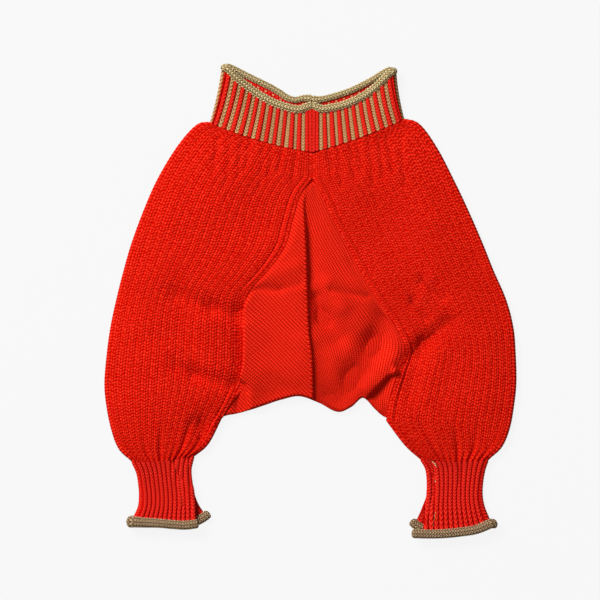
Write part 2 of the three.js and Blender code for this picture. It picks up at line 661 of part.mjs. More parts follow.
// Waistband half: stripes of raised and sunk wales from the middle seam to the side
function stripePlaces(stripes) {
  const length = seamWale + stripes * stripePitch;
  const slope = 0.5;
  const places = [{ at: 0, relief: bandRibHeight }];
  for (let k = 0; k < stripes; k += 1) {
    const start = seamWale + k * stripePitch;
    const end = start + tanShare * stripePitch;
    places.push({ at: (start - slope) / length, relief: bandRibHeight });
    places.push({ at: start / length, relief: 0 });
    places.push({ at: end / length, relief: 0 });
    places.push({ at: (end + slope) / length, relief: bandRibHeight });
  }
  places.push({ at: 1, relief: bandRibHeight });
  return places;
}

// Top edge of the waistband in plan, for the front and the back layer
function waistTop(side, layer, x) {
  const { edgeX } = waistSides[side];
  const share = clamp((x - waistMiddleX) / (edgeX - waistMiddleX), 0, 1);
  const rise = layer === "front" ? waistSides[side].frontRise : waistSides[side].backRise;
  const power = layer === "front" ? waistSides[side].frontPower : waistSides[side].backPower;
  return (layer === "front" ? frontTopY : backTopY) + rise * share ** power;
}

// The front layer climbs onto the back curl towards the side
const frontRestLevel = bandWall + seamGap;
function waistFrontBase(side, x) {
  const { edgeX } = waistSides[side];
  const share = clamp((x - waistMiddleX) / (edgeX - waistMiddleX), 0, 1);
  return lerp(frontRestLevel, 2 * endFold, smoothstep(share, 0.6, 0.95));
}

// Top edge of the wall in plan, one gap away from the curl and square to it
function bandTop(side, layer, x) {
  const slope = waistTop(side, layer, x + 0.5) - waistTop(side, layer, x - 0.5);
  const share = (x - waistMiddleX) / (waistSides[side].edgeX - waistMiddleX);
  const clearance = seamGap + 0.1 + cornerClearance * smoothstep(share, 0.75, 0.92);
  return waistTop(side, layer, x) - (waistCurlWidth / 2 + clearance) * Math.hypot(1, slope);
}

function waistbandHalf(side, table) {
  const direction = Math.sign(waistSides[side].edgeX);
  const columns = panelColumns(stripePlaces(waistSides[side].stripes), 4);
  const grid = [];
  for (let i = 0; i <= bandRows; i += 1) {
    const share = i / bandRows;
    const radius = lerp(legFold, endFold, share);
    const topEdge = waistSides[side].edgeX - direction * (radius + bandWall / 2);
    const bottom = {
      seam: planPoint(table, "seamX", "seamY", 0),
      outer: planPoint(table, "outerX", "outerY", 0),
      back: planPoint(table, "backX", "backY", 0),
      radius: legFold,
      wall: bandWall,
      sag: table[0].sag,
      closed: 0,
      level: frontLevel,
    };
    grid.push(columns.map((column) => {
      const low = panelPoint(bottom, column).add(new THREE.Vector3(0, seamGap / 2, 0));
      const layer = column.zone === "back" || column.zone === "backEdge" ? "back" : "front";
      const startX = waistMiddleX + direction * seamGap / 2;
      const edgeSteps = (Math.PI / 2) * legFold;
      let x = topEdge;
      if (column.zone === "frontEdge" || column.zone === "backEdge") x = startX + direction * edgeSteps * column.at;
      if (column.zone === "front") x = lerp(startX + direction * edgeSteps, topEdge, column.at);
      if (column.zone === "back") x = lerp(topEdge, startX + direction * edgeSteps, column.at);
      const high = new THREE.Vector3(x, bandTop(side, layer, x), bandWall / 2);
      if (layer === "front") high.z += waistFrontBase(side, x);
      if (column.zone === "fold") {
        const angle = Math.PI * column.at;
        const frontY = bandTop(side, "front", topEdge);
        const backY = bandTop(side, "back", topEdge);
        high.y = lerp(frontY, backY, column.at);
        high.x += direction * endFold * Math.sin(angle);
        high.z = bandWall / 2 + endFold + endFold * Math.cos(angle);
      }
      return low.lerp(high, share);
    }));
  }
  grid.reverse();
  return wallMesh("waistband_" + side, grid, columns, bandWall, redKnit, (normal, i, j) => {
    const { zone } = columns[j];
    if (zone === "back" || zone === "backEdge") return normal.copy(under);
    if (zone === "frontEdge") return normal.copy(up);
    if (i === bandRows || i === 0) return normal.setY(0);
    return normal;
  });
}

// Lower edge of a cuff in plan, one gap away from its curl and square to it
function cuffEnd(side, layer, x) {
  const line = cuffCurls[side][layer];
  const slope = along(line, "x", x + 0.5, "y") - along(line, "x", x - 0.5, "y");
  return along(line, "x", x, "y") + (cuffCurlWidth / 2 + seamGap + 0.3) * Math.hypot(1, slope);
}

function cuff(side, table) {
  const columns = panelColumns(ribPlaces(cuffRibs, cuffRibHeight), 3);
  const rows = table.length - 1;
  const grid = table.map((entry, i) => {
    const radius = lerp(legFold, endFold, smoothstep(i / rows, 0.3, 1));
    const middle = cuffWall / 2 + radius;
    const section = {
      seam: new THREE.Vector2(entry.seamX, entry.seamY),
      outer: new THREE.Vector2(entry.outerX, entry.outerY),
      back: new THREE.Vector2(entry.backX, entry.backY),
      radius,
      wall: cuffWall,
      sag: i ? 0 : leftRows[lastRow].sag,
      closed: cuffClosing[i],
      level: () => middle + radius,
    };
    return columns.map((column) => {
      const p = panelPoint(section, column);
      if (i === 0) p.y -= seamGap / 2;
      if (i === rows) p.y = cuffEnd(side, column.zone.startsWith("back") ? "back" : "front", p.x);
      return p;
    });
  });
  return wallMesh("cuff_" + side, grid, columns, cuffWall, cuffKnit, (normal, i, j) => {
    const edge = j === 0 || j === columns.length - 1;
    if (columns[j].zone === "back" || (i === rows && columns[j].zone === "backEdge")) return normal.copy(under);
    if (edge) return normal.setZ(0).setY(0).normalize().lerp(j ? under : up, 1 - cuffClosing[i]);
    if (i === 0 || i === rows) return normal.setY(0);
    return normal;
  });
}

// A curled edge: a closed tube of an eight-sided section with a flat underside, along a path of middle points.
// across is the horizontal direction of the section's width at each point.
function curl(name, path, across, width, height) {
  const vertices = [];
  const triangles = [];
  const flat = Math.cos(Math.PI / curlSides);
  const count = path.length;
  path.forEach((point, i) => {
    const ahead = path[Math.min(i + 1, count - 1)].clone().sub(path[Math.max(i - 1, 0)]).normalize();
    const upward = new THREE.Vector3().crossVectors(ahead, across[i]).normalize();
    for (let k = 0; k < curlSides; k += 1) {
      const angle = (2 * Math.PI * (k + 0.5)) / curlSides;
      const p = point.clone();
      p.addScaledVector(across[i], (width / 2 / flat) * Math.cos(angle));
      p.addScaledVector(upward, (height / 2 / flat) * Math.sin(angle));
      vertices.push(p.x, p.y, Math.max(p.z, 0));
    }
  });
  const at = (i, k) => i * curlSides + (k % curlSides);
  for (let i = 1; i < count; i += 1) {
    for (let k = 0; k < curlSides; k += 1) {
      triangles.push(at(i - 1, k), at(i, k), at(i, k + 1));
      triangles.push(at(i - 1, k), at(i, k + 1), at(i - 1, k + 1));
    }
  }
  for (let k = 1; k < curlSides - 1; k += 1) {
    triangles.push(at(0, 0), at(0, k), at(0, k + 1));
    triangles.push(at(count - 1, 0), at(count - 1, k + 1), at(count - 1, k));
  }
  if (signedVolume(vertices, triangles) < 0) triangles.reverse();
  return namedMesh(name, vertices, triangles, tanKnit);
}

function signedVolume(vertices, triangles) {
  const corner = (t) => new THREE.Vector3().fromArray(vertices, 3 * triangles[t]);
  let sum = 0;
  for (let t = 0; t < triangles.length; t += 3) {
    sum += corner(t).dot(corner(t + 1).cross(corner(t + 2)));
  }
  return sum / 6;
}

// Path that runs out along a front line, turns over at the side and comes back along a back line
function turnedPath(front, back, radius, turnOutward) {
  const turn = front.at(-1);
  const path = [...front];
  const turnSteps = 4;
  for (let k = 1; k < turnSteps; k += 1) {
    const angle = (Math.PI * k) / turnSteps;
    const p = turn.clone().lerp(back[0], k / turnSteps);
    p.z = (turn.z + back[0].z) / 2 + radius * Math.cos(angle);
    path.push(p.addScaledVector(turnOutward, radius * Math.sin(angle)));
  }
  return [...path, ...back];
}

// Horizontal width direction at each point of a path, kept on one side through the turn
function acrossPath(path, squareEnds) {
  const directions = [];
  let previous = new THREE.Vector3(0, 1, 0);
  path.forEach((point, i) => {
    const ahead = path[Math.min(i + 1, path.length - 1)].clone().sub(path[Math.max(i - 1, 0)]).setZ(0);
    let direction = new THREE.Vector3(-ahead.y, ahead.x, 0);
    if (direction.length() < 2.5) direction = previous.clone();
    direction.normalize();
    if (squareEnds && (i === 0 || i === path.length - 1)) direction.set(0, 1, 0);
    if (direction.dot(previous) < 0) direction.negate();
    previous = direction;
    directions.push(direction);
  });
  return directions;
}

function waistCurl(side) {
  const { edgeX } = waistSides[side];
  const direction = Math.sign(edgeX);
  const turnRadius = endFold + 0.1;
  const turnX = edgeX - direction * (turnRadius + waistCurlHeight / 2);
  const startX = waistMiddleX + direction * seamGap / 2;
  const steps = 10;
  const front = [];
  const back = [];
  for (let k = 0; k <= steps; k += 1) {
    const x = lerp(startX, turnX, k / steps);
    const base = Math.min(waistFrontBase(side, x) + seamGap, 2 * turnRadius);
    front.push(new THREE.Vector3(x, waistTop(side, "front", x), waistCurlHeight / 2 + base));
    back.unshift(new THREE.Vector3(x, waistTop(side, "back", x), waistCurlHeight / 2));
  }
  front.at(-1).z = waistCurlHeight / 2 + 2 * turnRadius;
  const path = turnedPath(front, back, turnRadius, new THREE.Vector3(direction, 0, 0));
  return curl("waist_roll_" + side, path, acrossPath(path, true), waistCurlWidth, waistCurlHeight);
}

function cuffCurl(side) {
  const lines = cuffCurls[side];
  const direction = Math.sign(lines.front.at(-1).x - lines.front[0].x);
  const turnRadius = endFold + 0.1;
  const steps = 9;
  const trace = (line, z) => Array.from({ length: steps + 1 }, (_, k) => {
    const row = (k * (line.length - 1)) / steps;
    return new THREE.Vector3(spline(line, "x", row), spline(line, "y", row), z);
  });
  const front = trace(lines.front, cuffCurlHeight / 2 + 2 * turnRadius);
  const back = trace(lines.back, cuffCurlHeight / 2).reverse();
  const path = turnedPath(front, back, turnRadius, new THREE.Vector3(direction, 0, 0));
  return curl("cuff_roll_" + side, path, acrossPath(path, false), cuffCurlWidth, cuffCurlHeight);
}

const garment = new THREE.Group();
garment.add(
  waistbandHalf("left", leftRows),
  waistbandHalf("right", rightRows),
  waistCurl("left"),
  waistCurl("right"),
  legPanel("leg_left", leftRows),
  legPanel("leg_right", rightRows),
  gusset(),
  cuff("left", leftCuffRows),
  cuff("right", rightCuffRows),
  cuffCurl("left"),
  cuffCurl("right"),
);

// The origin is at the bottom centre of the garment's box
const box = new THREE.Box3().setFromObject(garment);
const centre = box.getCenter(new THREE.Vector3());
garment.position.set(-centre.x, -centre.y, -box.min.z);

export default garment;
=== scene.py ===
"""A small child's knitted harem pants, laid flat on a pale floor and seen from straight above.

The classes work in millimetres, in the plan in which the garment was drafted: x to the viewer's right,
y to the waist. Drafting.metres() turns their points into the frame's metres.
"""

import logging
import math
from dataclasses import dataclass
from enum import Enum
from typing import Callable, NamedTuple, Sequence

import bmesh
import bpy
import numpy as np
from bpy.types import Material, Node, NodeSocket, NodeTree, Object
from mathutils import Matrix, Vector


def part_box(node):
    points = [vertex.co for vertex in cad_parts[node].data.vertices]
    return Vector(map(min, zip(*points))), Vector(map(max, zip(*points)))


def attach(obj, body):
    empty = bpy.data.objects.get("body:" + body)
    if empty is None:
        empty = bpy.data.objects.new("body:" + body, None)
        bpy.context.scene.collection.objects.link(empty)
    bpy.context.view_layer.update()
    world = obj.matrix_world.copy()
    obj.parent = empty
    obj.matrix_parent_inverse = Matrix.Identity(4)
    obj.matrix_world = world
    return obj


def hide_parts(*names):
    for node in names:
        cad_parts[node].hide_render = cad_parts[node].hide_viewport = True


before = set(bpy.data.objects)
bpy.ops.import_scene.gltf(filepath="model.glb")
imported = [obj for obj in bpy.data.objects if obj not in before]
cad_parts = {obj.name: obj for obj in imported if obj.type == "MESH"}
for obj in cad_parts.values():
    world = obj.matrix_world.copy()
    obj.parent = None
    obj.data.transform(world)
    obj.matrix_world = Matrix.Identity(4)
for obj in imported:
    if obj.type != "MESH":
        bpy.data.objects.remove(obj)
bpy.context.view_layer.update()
log = logging.getLogger("harem_pants")

Array = np.ndarray
MM = 0.001
BODY = "root"

SEAM_GAP = -0.2
LEG_WALL = 3.0
GUSSET_WALL = 2.0
BAND_WALL = 3.0
CUFF_WALL = 2.5
LEG_FOLD = 2.1
GUSSET_FOLD = 2.35
END_FOLD = 3.45
WAIST_ROLL = (6.8, 6.4)
CUFF_ROLL = (8.8, 6.6)
ROLL_OVERLAP = 0.6
ROLL_TURN = END_FOLD + 0.1
ROLL_POINTS = 61
EDGE_COLUMNS = 4
FOLD_COLUMNS = 11
CUFF_RIBS = 11
CUFF_RIB_HEIGHT = 1.1
TIP_ROW = 2
GUSSET_START = 2.04
CORNER_ROW = 12
LAST_ROW = 14
WAIST_MIDDLE = 2.0
LOWEST_LEVEL = 2.9
ANGLE_SLACK = 1e-6


class Side(Enum):
    """The two halves of the garment, as they lie in the view."""

    LEFT = "left"
    RIGHT = "right"

    @property
    def sign(self) -> int:
        """Direction of x from the middle of the garment to this side."""
        return -1 if self is Side.LEFT else 1


class Zone(Enum):
    """Stretches of a folded panel, in the order in which a row crosses them."""

    FRONT_EDGE = 0
    FRONT = 1
    FOLD = 2
    BACK = 3
    BACK_EDGE = 4


class LegRow(NamedTuple):
    """One row of a leg in plan: side fold, front seam, back seam, and its sag between them."""

    outer_x: float
    outer_y: float
    seam_x: float
    seam_y: float
    back_x: float
    back_y: float
    sag: float


class Strand(NamedTuple):
    """A strand of the waist's yarn that shows on a cuff: from one place to another, counted in stitches."""

    from_wale: float
    from_course: float
    to_wale: float
    to_course: float
    width: float


class CuffRow(NamedTuple):
    """One row of a cuff in plan: side fold, inseam on the front, inseam on the back."""

    outer_x: float
    outer_y: float
    seam_x: float
    seam_y: float
    back_x: float
    back_y: float


class Spot(NamedTuple):
    """A point in plan."""

    x: float
    y: float


class Crease(NamedTuple):
    """A soft trough or ridge between two points; lee is the share of its width on the right of its way."""

    from_x: float
    from_y: float
    to_x: float
    to_y: float
    width: float
    rise: float
    lee: float = 1.0


class Gather(NamedTuple):
    """A row of short upright creases."""

    first_x: float
    last_x: float
    count: int
    top_y: float
    length: float
    slant: float
    rise: float
    width: float


class Ledge(NamedTuple):
    """A fold's edge: the cloth is high on the left of the way it runs, and drops to its right."""

    line: list[Spot]
    high: float
    high_reach: float
    low: float
    low_reach: float
    drop: float
    fade: float


LEFT_ROWS = [LegRow(*row) for row in (
    (-94, 164.5, 2, 137, 2, 148.5, 3),
    (-107, 162, 2, 127, 2, 138, 5),
    (-124.5, 142, 2, 114, 2, 125, 4),
    (-142.5, 112, -9.5, 97, -6.5, 103, 3),
    (-155.5, 82.5, -16.5, 74, -16, 78.5, 2),
    (-166.5, 52.5, -23.5, 50, -25, 53.5, 1),
    (-174, 26.5, -39, 28, -35.5, 28.5, 0),
    (-180.5, 0.5, -57.5, 7, -45.5, 3.5, 0),
    (-186, -25.5, -60.6, -17, -55, -22, 0),
    (-189.5, -51.5, -60.6, -43, -63, -46, 0),
    (-191.5, -77.5, -62.4, -67.5, -70.5, -70, 0),
    (-189.5, -99, -70, -88, -76.5, -90.5, 0),
    (-185, -120.5, -82, -109.5, -82, -109.5, 0),
    (-178.5, -137, -94, -132.5, -94, -132.5, 1),
    (-166.5, -150, -108, -144.5, -108, -144.5, 1.5),
)]
RIGHT_ROWS = [LegRow(*row) for row in (
    (88.5, 168, 2, 137, 2, 148.5, 2.2),
    (103, 163, 2, 127, 2, 138, 5),
    (119, 141, 2, 114, 2, 125, 4),
    (135, 110, 11, 97, 10, 103, 3),
    (148, 82.5, 21.5, 74, 19.5, 78.5, 2),
    (161, 52.5, 34.5, 50.5, 29, 53.5, 1),
    (171, 27.5, 48.5, 23.5, 39, 28.5, 0),
    (182.7, 0.5, 64, -1.5, 49.5, 3.5, 0),
    (189.5, -25.5, 79, -23.5, 58.5, -22, 0),
    (191.6, -50.5, 87.5, -45, 66, -46, 0),
    (192.2, -76, 81, -67.5, 71.5, -70, 0),
    (190.2, -96.5, 74.5, -89, 74.5, -90.5, 0),
    (186.4, -117.5, 70.5, -111, 70.5, -111, 0),
    (179.5, -134.5, 87.5, -133.5, 87.5, -133.5, 1),
    (166.5, -148.5, 103, -147.5, 103, -147.5, 1.5),
)]
LEFT_CUFF_ROWS = [CuffRow(*row) for row in (
    (-166.5, -150, -108, -144.5, -108, -144.5),
    (-162, -160.5, -110, -155, -110, -155),
    (-160, -172.5, -109.5, -167, -109.5, -167),
    (-159.5, -182, -108, -177, -108, -177),
    (-160.5, -192, -106.5, -189, -104.5, -188),
    (-164.5, -200, -105.5, -202, -99, -196),
)]
RIGHT_CUFF_ROWS = [CuffRow(*row) for row in (
    (166.5, -148.5, 103, -147.5, 103, -147.5),
    (163.5, -157.5, 107.5, -156, 107.5, -156),
    (161.5, -169, 109, -168, 109, -168),
    (161, -181, 108.5, -180, 108.5, -180),
    (163, -192, 106.5, -193, 104.5, -192),
    (167.5, -201.5, 105, -209, 99, -202),
)]
CUFF_CLOSING = (1, 1, 1, 1, 0.5, 0)

# Middle lines of the cuff rolls, from the inseam to the side fold
CUFF_ROLL_FRONT = {
    Side.LEFT: [
        Spot(-103, -206.6), Spot(-115, -208.2), Spot(-127, -207.6),
        Spot(-140, -206.4), Spot(-152, -205.8), Spot(-163, -205.2),
    ],
    Side.RIGHT: [
        Spot(94, -216), Spot(110, -216.4), Spot(125.5, -216),
        Spot(140, -214.5), Spot(154, -212.2), Spot(167, -207),
    ],
}
CUFF_ROLL_BACK = {
    Side.LEFT: [
        Spot(-93.5, -197), Spot(-99, -201.5), Spot(-107, -205.4),
        Spot(-119, -207.4), Spot(-140, -206.4), Spot(-163, -205.2),
    ],
    Side.RIGHT: [
        Spot(94, -204), Spot(98.5, -208.5), Spot(107, -212.6),
        Spot(122, -214.6), Spot(140, -214), Spot(167, -207),
    ],
}

# Bottom edge of the gusset, and the edge of the pleat down its middle
CROTCH_EDGE = [
    Spot(-82, -107), Spot(-70, -105.5), Spot(-58.5, -102.5), Spot(-44.5, -98),
    Spot(-28, -92.5), Spot(-9.5, -89), Spot(9.5, -95.5), Spot(26, -103.5),
    Spot(38, -99), Spot(49.5, -90.5), Spot(62.5, -102.5), Spot(70.5, -109.5),
]
PLEAT_LINE = [
    Spot(-6.5, 104), Spot(-4.5, 65), Spot(-3.5, 10), Spot(-2, -27.5), Spot(1, -55.5), Spot(2, -90.5),
]

# Where the leg dips under the fold at the gusset's left side
LEG_DIPS = [Crease(-53.5, -16, -53.5, -73, 16, -10.2)]

# Creases of the front: the large folds come first
CREASES = [Crease(*row) for row in (
    (-124, 5, -92, -8, 10, -3.8, 0.7),
    (-92, -8, -66, -17, 10, -4.4, 0.6),
    (-124, -61, -108, -69, 9, -3.0, 0.7),
    (-108, -69, -66, -83, 9, -4.4, 0.6),
    (-100, -26, -98, -58, 15, 2.2),
    (-102, -116, -98, -132, 11, -4.2, 0.7),
    (104, 18, 122, 2.5, 6, -2.4, 0.7),
    (95, -1.5, 107, -16, 6, -2.8, 0.7),
    (128, -20, 105, -38, 10, -3.2, 0.7),
    (105, -38, 92, -52, 10, -4.0, 0.6),
    (99, -54, 90, -82, 12, -4.0),
    (-150, 40, -118, 66, 11, -0.8),
    (-70, 96, -44, 64, 9, -0.9),
    (-38, 58, -60, 26, 8, 0.9),
    (-160, -40, -128, -30, 10, -0.9),
    (-98, -92, -84, -104, 7, 1.0),
    (-130, -80, -112, -100, 9, 0.9),
    (60, 92, 84, 60, 10, -0.8),
    (128, 60, 150, 30, 10, -0.8),
    (112, 22, 100, -8, 6, 0.9),
    (150, -30, 168, -58, 10, -0.8),
    (130, -60, 120, -92, 9, -1.0),
    (92, -92, 104, -118, 6, -1.2),
)]
# Creases of the gusset alone
GUSSET_CREASES = [Crease(*row) for row in (
    (-58, -101, -61, -78, 10, -6.0, 0.25),
    (5, 2, 13, -17, 7, -6.0),
    (13, -17, 26, -35, 9, -5.4),
    (16, 14, 30, -6, 8, 2.4),
    (30, -6, 48, -24, 9, 2.4),
    (68, -18, 59, -43, 13, -4.6, 0.9),
    (59, -43, 40, -71, 14, -5.2, 0.9),
    (40, -71, 27, -90, 12, -4.0),
    (10, -46, 16, -88, 9, -2.2),
    (84, -30, 73, -54, 9, 1.2),
    (73, -54, 53, -78, 8, 1.3),
    (53, -78, 36, -98, 7, 1.9),
    (20, 9, 52, 3, 4.5, -1.8, 0.6),
    (18, 18, 54, 13, 7, 0.9),
    (-56, 12, -28, 9.5, 5, -1.9, 0.7),
    (-28, 9.5, -10, 15, 5, -1.2, 0.7),
    (-50, 18, -12, 32, 7, 1.5),
    (-46, 0, -14, -28, 8, -1.0),
    (-40, -62, -14, -74, 8, 0.8),
    (-36, -38, -16, -48, 8, -0.7),
    (14, 76, 30, 44, 6, 0.8),
    (42, 34, 66, 0, 6, -0.8),
)]
# Edges of the gusset's two side folds
LEFT_FOLD = Ledge([Spot(-62, 10), Spot(-63, -20), Spot(-62, -72), Spot(-56, -112)], 2.8, 15, 4.6, 8, 1.2, 16)
RIGHT_FOLD = Ledge(
    [Spot(49.5, -91), Spot(59.5, -80.4), Spot(70, -69.5), Spot(81, -61.5), Spot(92, -52)],
    2.6, 12, 4.4, 12, 2.4, 8,
)
GATHERS = [
    Gather(-84, -14, 8, 150, 44, -0.12, -1.2, 3.0),
    Gather(16, 82, 8, 150, 44, 0.12, -1.2, 3.0),
]
CUFF_CREASES = [Crease(*row) for row in (
    (-127.5, -150, -120.5, -166, 2.4, -1.8),
    (-120.5, -166, -118, -190, 2.2, -1.6),
    (-114, -146, -110, -172, 2.2, -1.4),
    (112.5, -146, 115, -163, 2.4, -2.0),
    (115, -163, 113.5, -181, 2.2, -2.0),
    (113.5, -181, 109, -204, 2.4, -1.8),
    (140, -146, 138, -170, 2.4, -0.9),
)]

# Strands of waist yarn beside the right cuff's inseam
YARN_STRANDS = [Strand(*row) for row in (
    (1.45, 0.0, 1.72, 1.4, 0.07),
    (1.72, 1.4, 1.62, 2.6, 0.09),
    (1.62, 2.6, 1.95, 3.4, 0.06),
    (1.05, 7.8, 1.16, 8.5, 0.08),
    (1.12, 17.4, 0.98, 18.6, 0.06),
    (0.98, 18.6, 0.72, 20.0, 0.06),
)]


def smoothstep(value: Array | float, low: float, high: float) -> Array:
    """Smooth step of a value from 0 at low to 1 at high."""
    t = np.clip((np.asarray(value, float) - low) / (high - low), 0, 1)
    return t * t * (3 - 2 * t)


def bump(distance: Array, width: Array | float) -> Array:
    """Bell curve of a distance: 1 at nought, about a third at one width."""
    return np.exp(-((distance / width) ** 2))


def mix(a: Array | float, b: Array | float, share: Array | float) -> Array:
    """Straight mix of two values."""
    return a + (b - a) * share


def unit(vectors: Array) -> Array:
    """Vectors at length 1, along the last axis."""
    return vectors / np.maximum(np.linalg.norm(vectors, axis=-1, keepdims=True), 1e-9)


def column(rows: Sequence[NamedTuple], name: str) -> Array:
    """One named column of a table."""
    return np.array([getattr(r, name) for r in rows], float)


def smooth_value(values: Array, place: Array, sharp: Sequence[int] = ()) -> Array:
    """Catmull-Rom value between the entries of a column.

    Args:
        values: The entries.
        place: Where to read, counted in entries.
        sharp: Entries at which the curve may turn sharply.

    Returns:
        One value for each place.
    """
    last = len(values) - 1
    place = np.asarray(place, float)
    i = np.clip(np.floor(place).astype(int), 0, last - 1)
    t = place - i
    b, c = values[i], values[i + 1]
    a = np.where((i == 0) | np.isin(i, sharp), 2 * b - c, values[np.maximum(i - 1, 0)])
    d = np.where((i + 2 > last) | np.isin(i + 1, sharp), 2 * c - b, values[np.minimum(i + 2, last)])
    return b + 0.5 * t * (c - a + t * (2 * a - 5 * b + 4 * c - d + t * (3 * (b - c) + d - a)))


def along(line: Sequence[Spot], by: str, place: Array, wanted: str) -> Array:
    """Value of a line's column at a place along its other column.

    Args:
        line: Points whose column `by` rises or falls all the way.
        by: Column that the place is given in.
        place: Values of that column.
        wanted: Column to read.

    Returns:
        One value for each place.
    """
    steps = column(line, by)
    sign = 1 if steps[-1] > steps[0] else -1
    entry = np.interp(sign * np.asarray(place, float), sign * steps, np.arange(len(line)))
    return smooth_value(column(line, wanted), entry)


def distance_to_segment(x: Array, y: Array, a: Spot, b: Spot) -> Array:
    """Distance in plan from points to the segment between two spots.

    Args:
        x: Places in plan.
        y: Places in plan.
        a: One end of the segment.
        b: Its other end.

    Returns:
        One distance for each point.
    """
    dx, dy = b.x - a.x, b.y - a.y
    t = np.clip(((x - a.x) * dx + (y - a.y) * dy) / (dx * dx + dy * dy), 0, 1)
    return np.hypot(x - a.x - t * dx, y - a.y - t * dy)


def crease_rise(x: Array, y: Array, creases: Sequence[Crease]) -> Array:
    """Height that a list of creases adds at points in plan.

    Args:
        x: Places in plan.
        y: Places in plan.
        creases: The creases.

    Returns:
        One height for each point.
    """
    rise = np.zeros(np.broadcast(x, y).shape)
    for c in creases:
        start, end = Spot(c.from_x, c.from_y), Spot(c.to_x, c.to_y)
        distance = distance_to_segment(x, y, start, end)
        turn = (end.x - start.x) * (y - start.y) - (end.y - start.y) * (x - start.x)
        width = c.width * mix(c.lee, 1, smoothstep(turn / math.dist(start, end), -2, 2))
        rise += c.rise * bump(distance, width)
    return rise


@dataclass(frozen=True)
class Stitch:
    """Form of a knit stitch, on a map with one unit for each column of stitches and for each course.

    Attributes:
        lean: How far the two strands of a stitch rise from its middle to its edges.
        floor: Height that is left between two stitches of a column.
        groove: Depth of the groove down the middle of a column.
        zigzag: How far the courses rise from the middle of a rib of three columns to its edges.
        thinness: How thin the strands are, from 1 on.
    """

    lean: float
    floor: float
    groove: float
    zigzag: float = 0.0
    thinness: float = 1.0

    def height(self, wale: Array, course: Array) -> Array:
        """Relief at points of the map, from 0 between the stitches to 1 on top of them.

        Args:
            wale: Wale of each point.
            course: Course of each point.

        Returns:
            One height for each point.
        """
        aside = np.abs(wale - np.floor(wale) - 0.5)
        rib = wale / 3
        off_rib = np.abs(rib - np.floor(rib) - 0.5)
        strand = 1 - (2 * aside) ** 2 - self.groove * np.clip(1 - 5 * aside, 0, 1)
        wave = 0.5 + 0.5 * np.cos(2 * math.pi * (course + self.lean * aside + 2 * self.zigzag * off_rib))
        return strand * (self.floor + (1 - self.floor) * wave**self.thinness)


LEG_STITCH = Stitch(lean=0.0, floor=0.1, groove=0.25, zigzag=0.6)
GUSSET_STITCH = Stitch(lean=1.0, floor=0.4, groove=0.3)
BAND_STITCH = Stitch(lean=1.8, floor=0.25, groove=0.4)
CUFF_STITCH = Stitch(lean=1.8, floor=0.25, groove=0.4)
ROLL_STITCH = Stitch(lean=1.9, floor=0.05, groove=0.5, thinness=1.8)


def ledge_rise(x: Array, y: Array, ledge: Ledge) -> Array:
    """Height that a fold's edge adds on its high side and takes away on its low side.

    Args:
        x: Places in plan.
        y: Places in plan.
        ledge: The fold's edge.

    Returns:
        One height for each point.
    """
    nearest = np.full(np.broadcast(x, y).shape, np.inf)
    side = np.zeros(nearest.shape)
    place = np.zeros(nearest.shape)
    start_length = 0.0
    for a, b in zip(ledge.line[:-1], ledge.line[1:]):
        distance = distance_to_segment(x, y, a, b)
        length = math.dist(a, b)
        along_it = ((x - a.x) * (b.x - a.x) + (y - a.y) * (b.y - a.y)) / length
        turn = ((b.x - a.x) * (y - a.y) - (b.y - a.y) * (x - a.x)) / length
        closer = distance < nearest
        nearest = np.where(closer, distance, nearest)
        side = np.where(closer, np.sign(turn), side)
        place = np.where(closer, start_length + along_it, place)
        start_length += length
    shown = smoothstep(place, 0, ledge.fade) * smoothstep(start_length - place, 0, ledge.fade)
    over = side * nearest
    high = ledge.high * bump(np.maximum(over, 0), ledge.high_reach)
    low = -ledge.low * bump(np.maximum(-over - ledge.drop, 0), ledge.low_reach)
    return shown * mix(low, high, smoothstep(over, -ledge.drop, 0))


def lengths_along(line: Array) -> Array:
    """Length from the start of a line to each of its points."""
    return np.concatenate([[0], np.cumsum(np.linalg.norm(np.diff(line, axis=0), axis=1))])


def cuff_rib(place: Array) -> Array:
    """Height of the cuffs' ribs at places counted in ribs, from 0 in a groove to 1 on top."""
    return np.abs(np.sin(math.pi * place)) ** 0.8


def row_places(points: Callable[[Array], Array], first: float, last: float, count: int) -> Array:
    """Rows between first and last that lie at even distances along a line.

    Args:
        points: Function from rows to points in plan.
        first: First row.
        last: Last row.
        count: How many steps to make.

    Returns:
        count + 1 rows.
    """
    rows = np.linspace(first, last, 401)
    line = points(rows)
    length = lengths_along(line)
    return np.interp(np.linspace(0, length[-1], count + 1), length, rows)


@dataclass
class Leg:
    """Plan of one leg."""

    side: Side
    rows: list[LegRow]

    def plan(self, edge: str, row: Array) -> Array:
        """Points of one edge in plan.

        Args:
            edge: "outer", "seam" or "back".
            row: Rows, counted from the waist seam.

        Returns:
            One point for each row.
        """
        sharp = () if edge == "outer" else (TIP_ROW, CORNER_ROW)
        return np.stack([smooth_value(column(self.rows, f"{edge}_{axis}"), row, sharp) for axis in "xy"], -1)

    def middle(self, row: Array) -> Array:
        """Middle line of the leg's front."""
        return (self.plan("outer", row) + self.plan("seam", row)) / 2

    def sag(self, row: Array) -> Array:
        """How far each row hangs down between its ends."""
        return smooth_value(column(self.rows, "sag"), row, (TIP_ROW, CORNER_ROW))


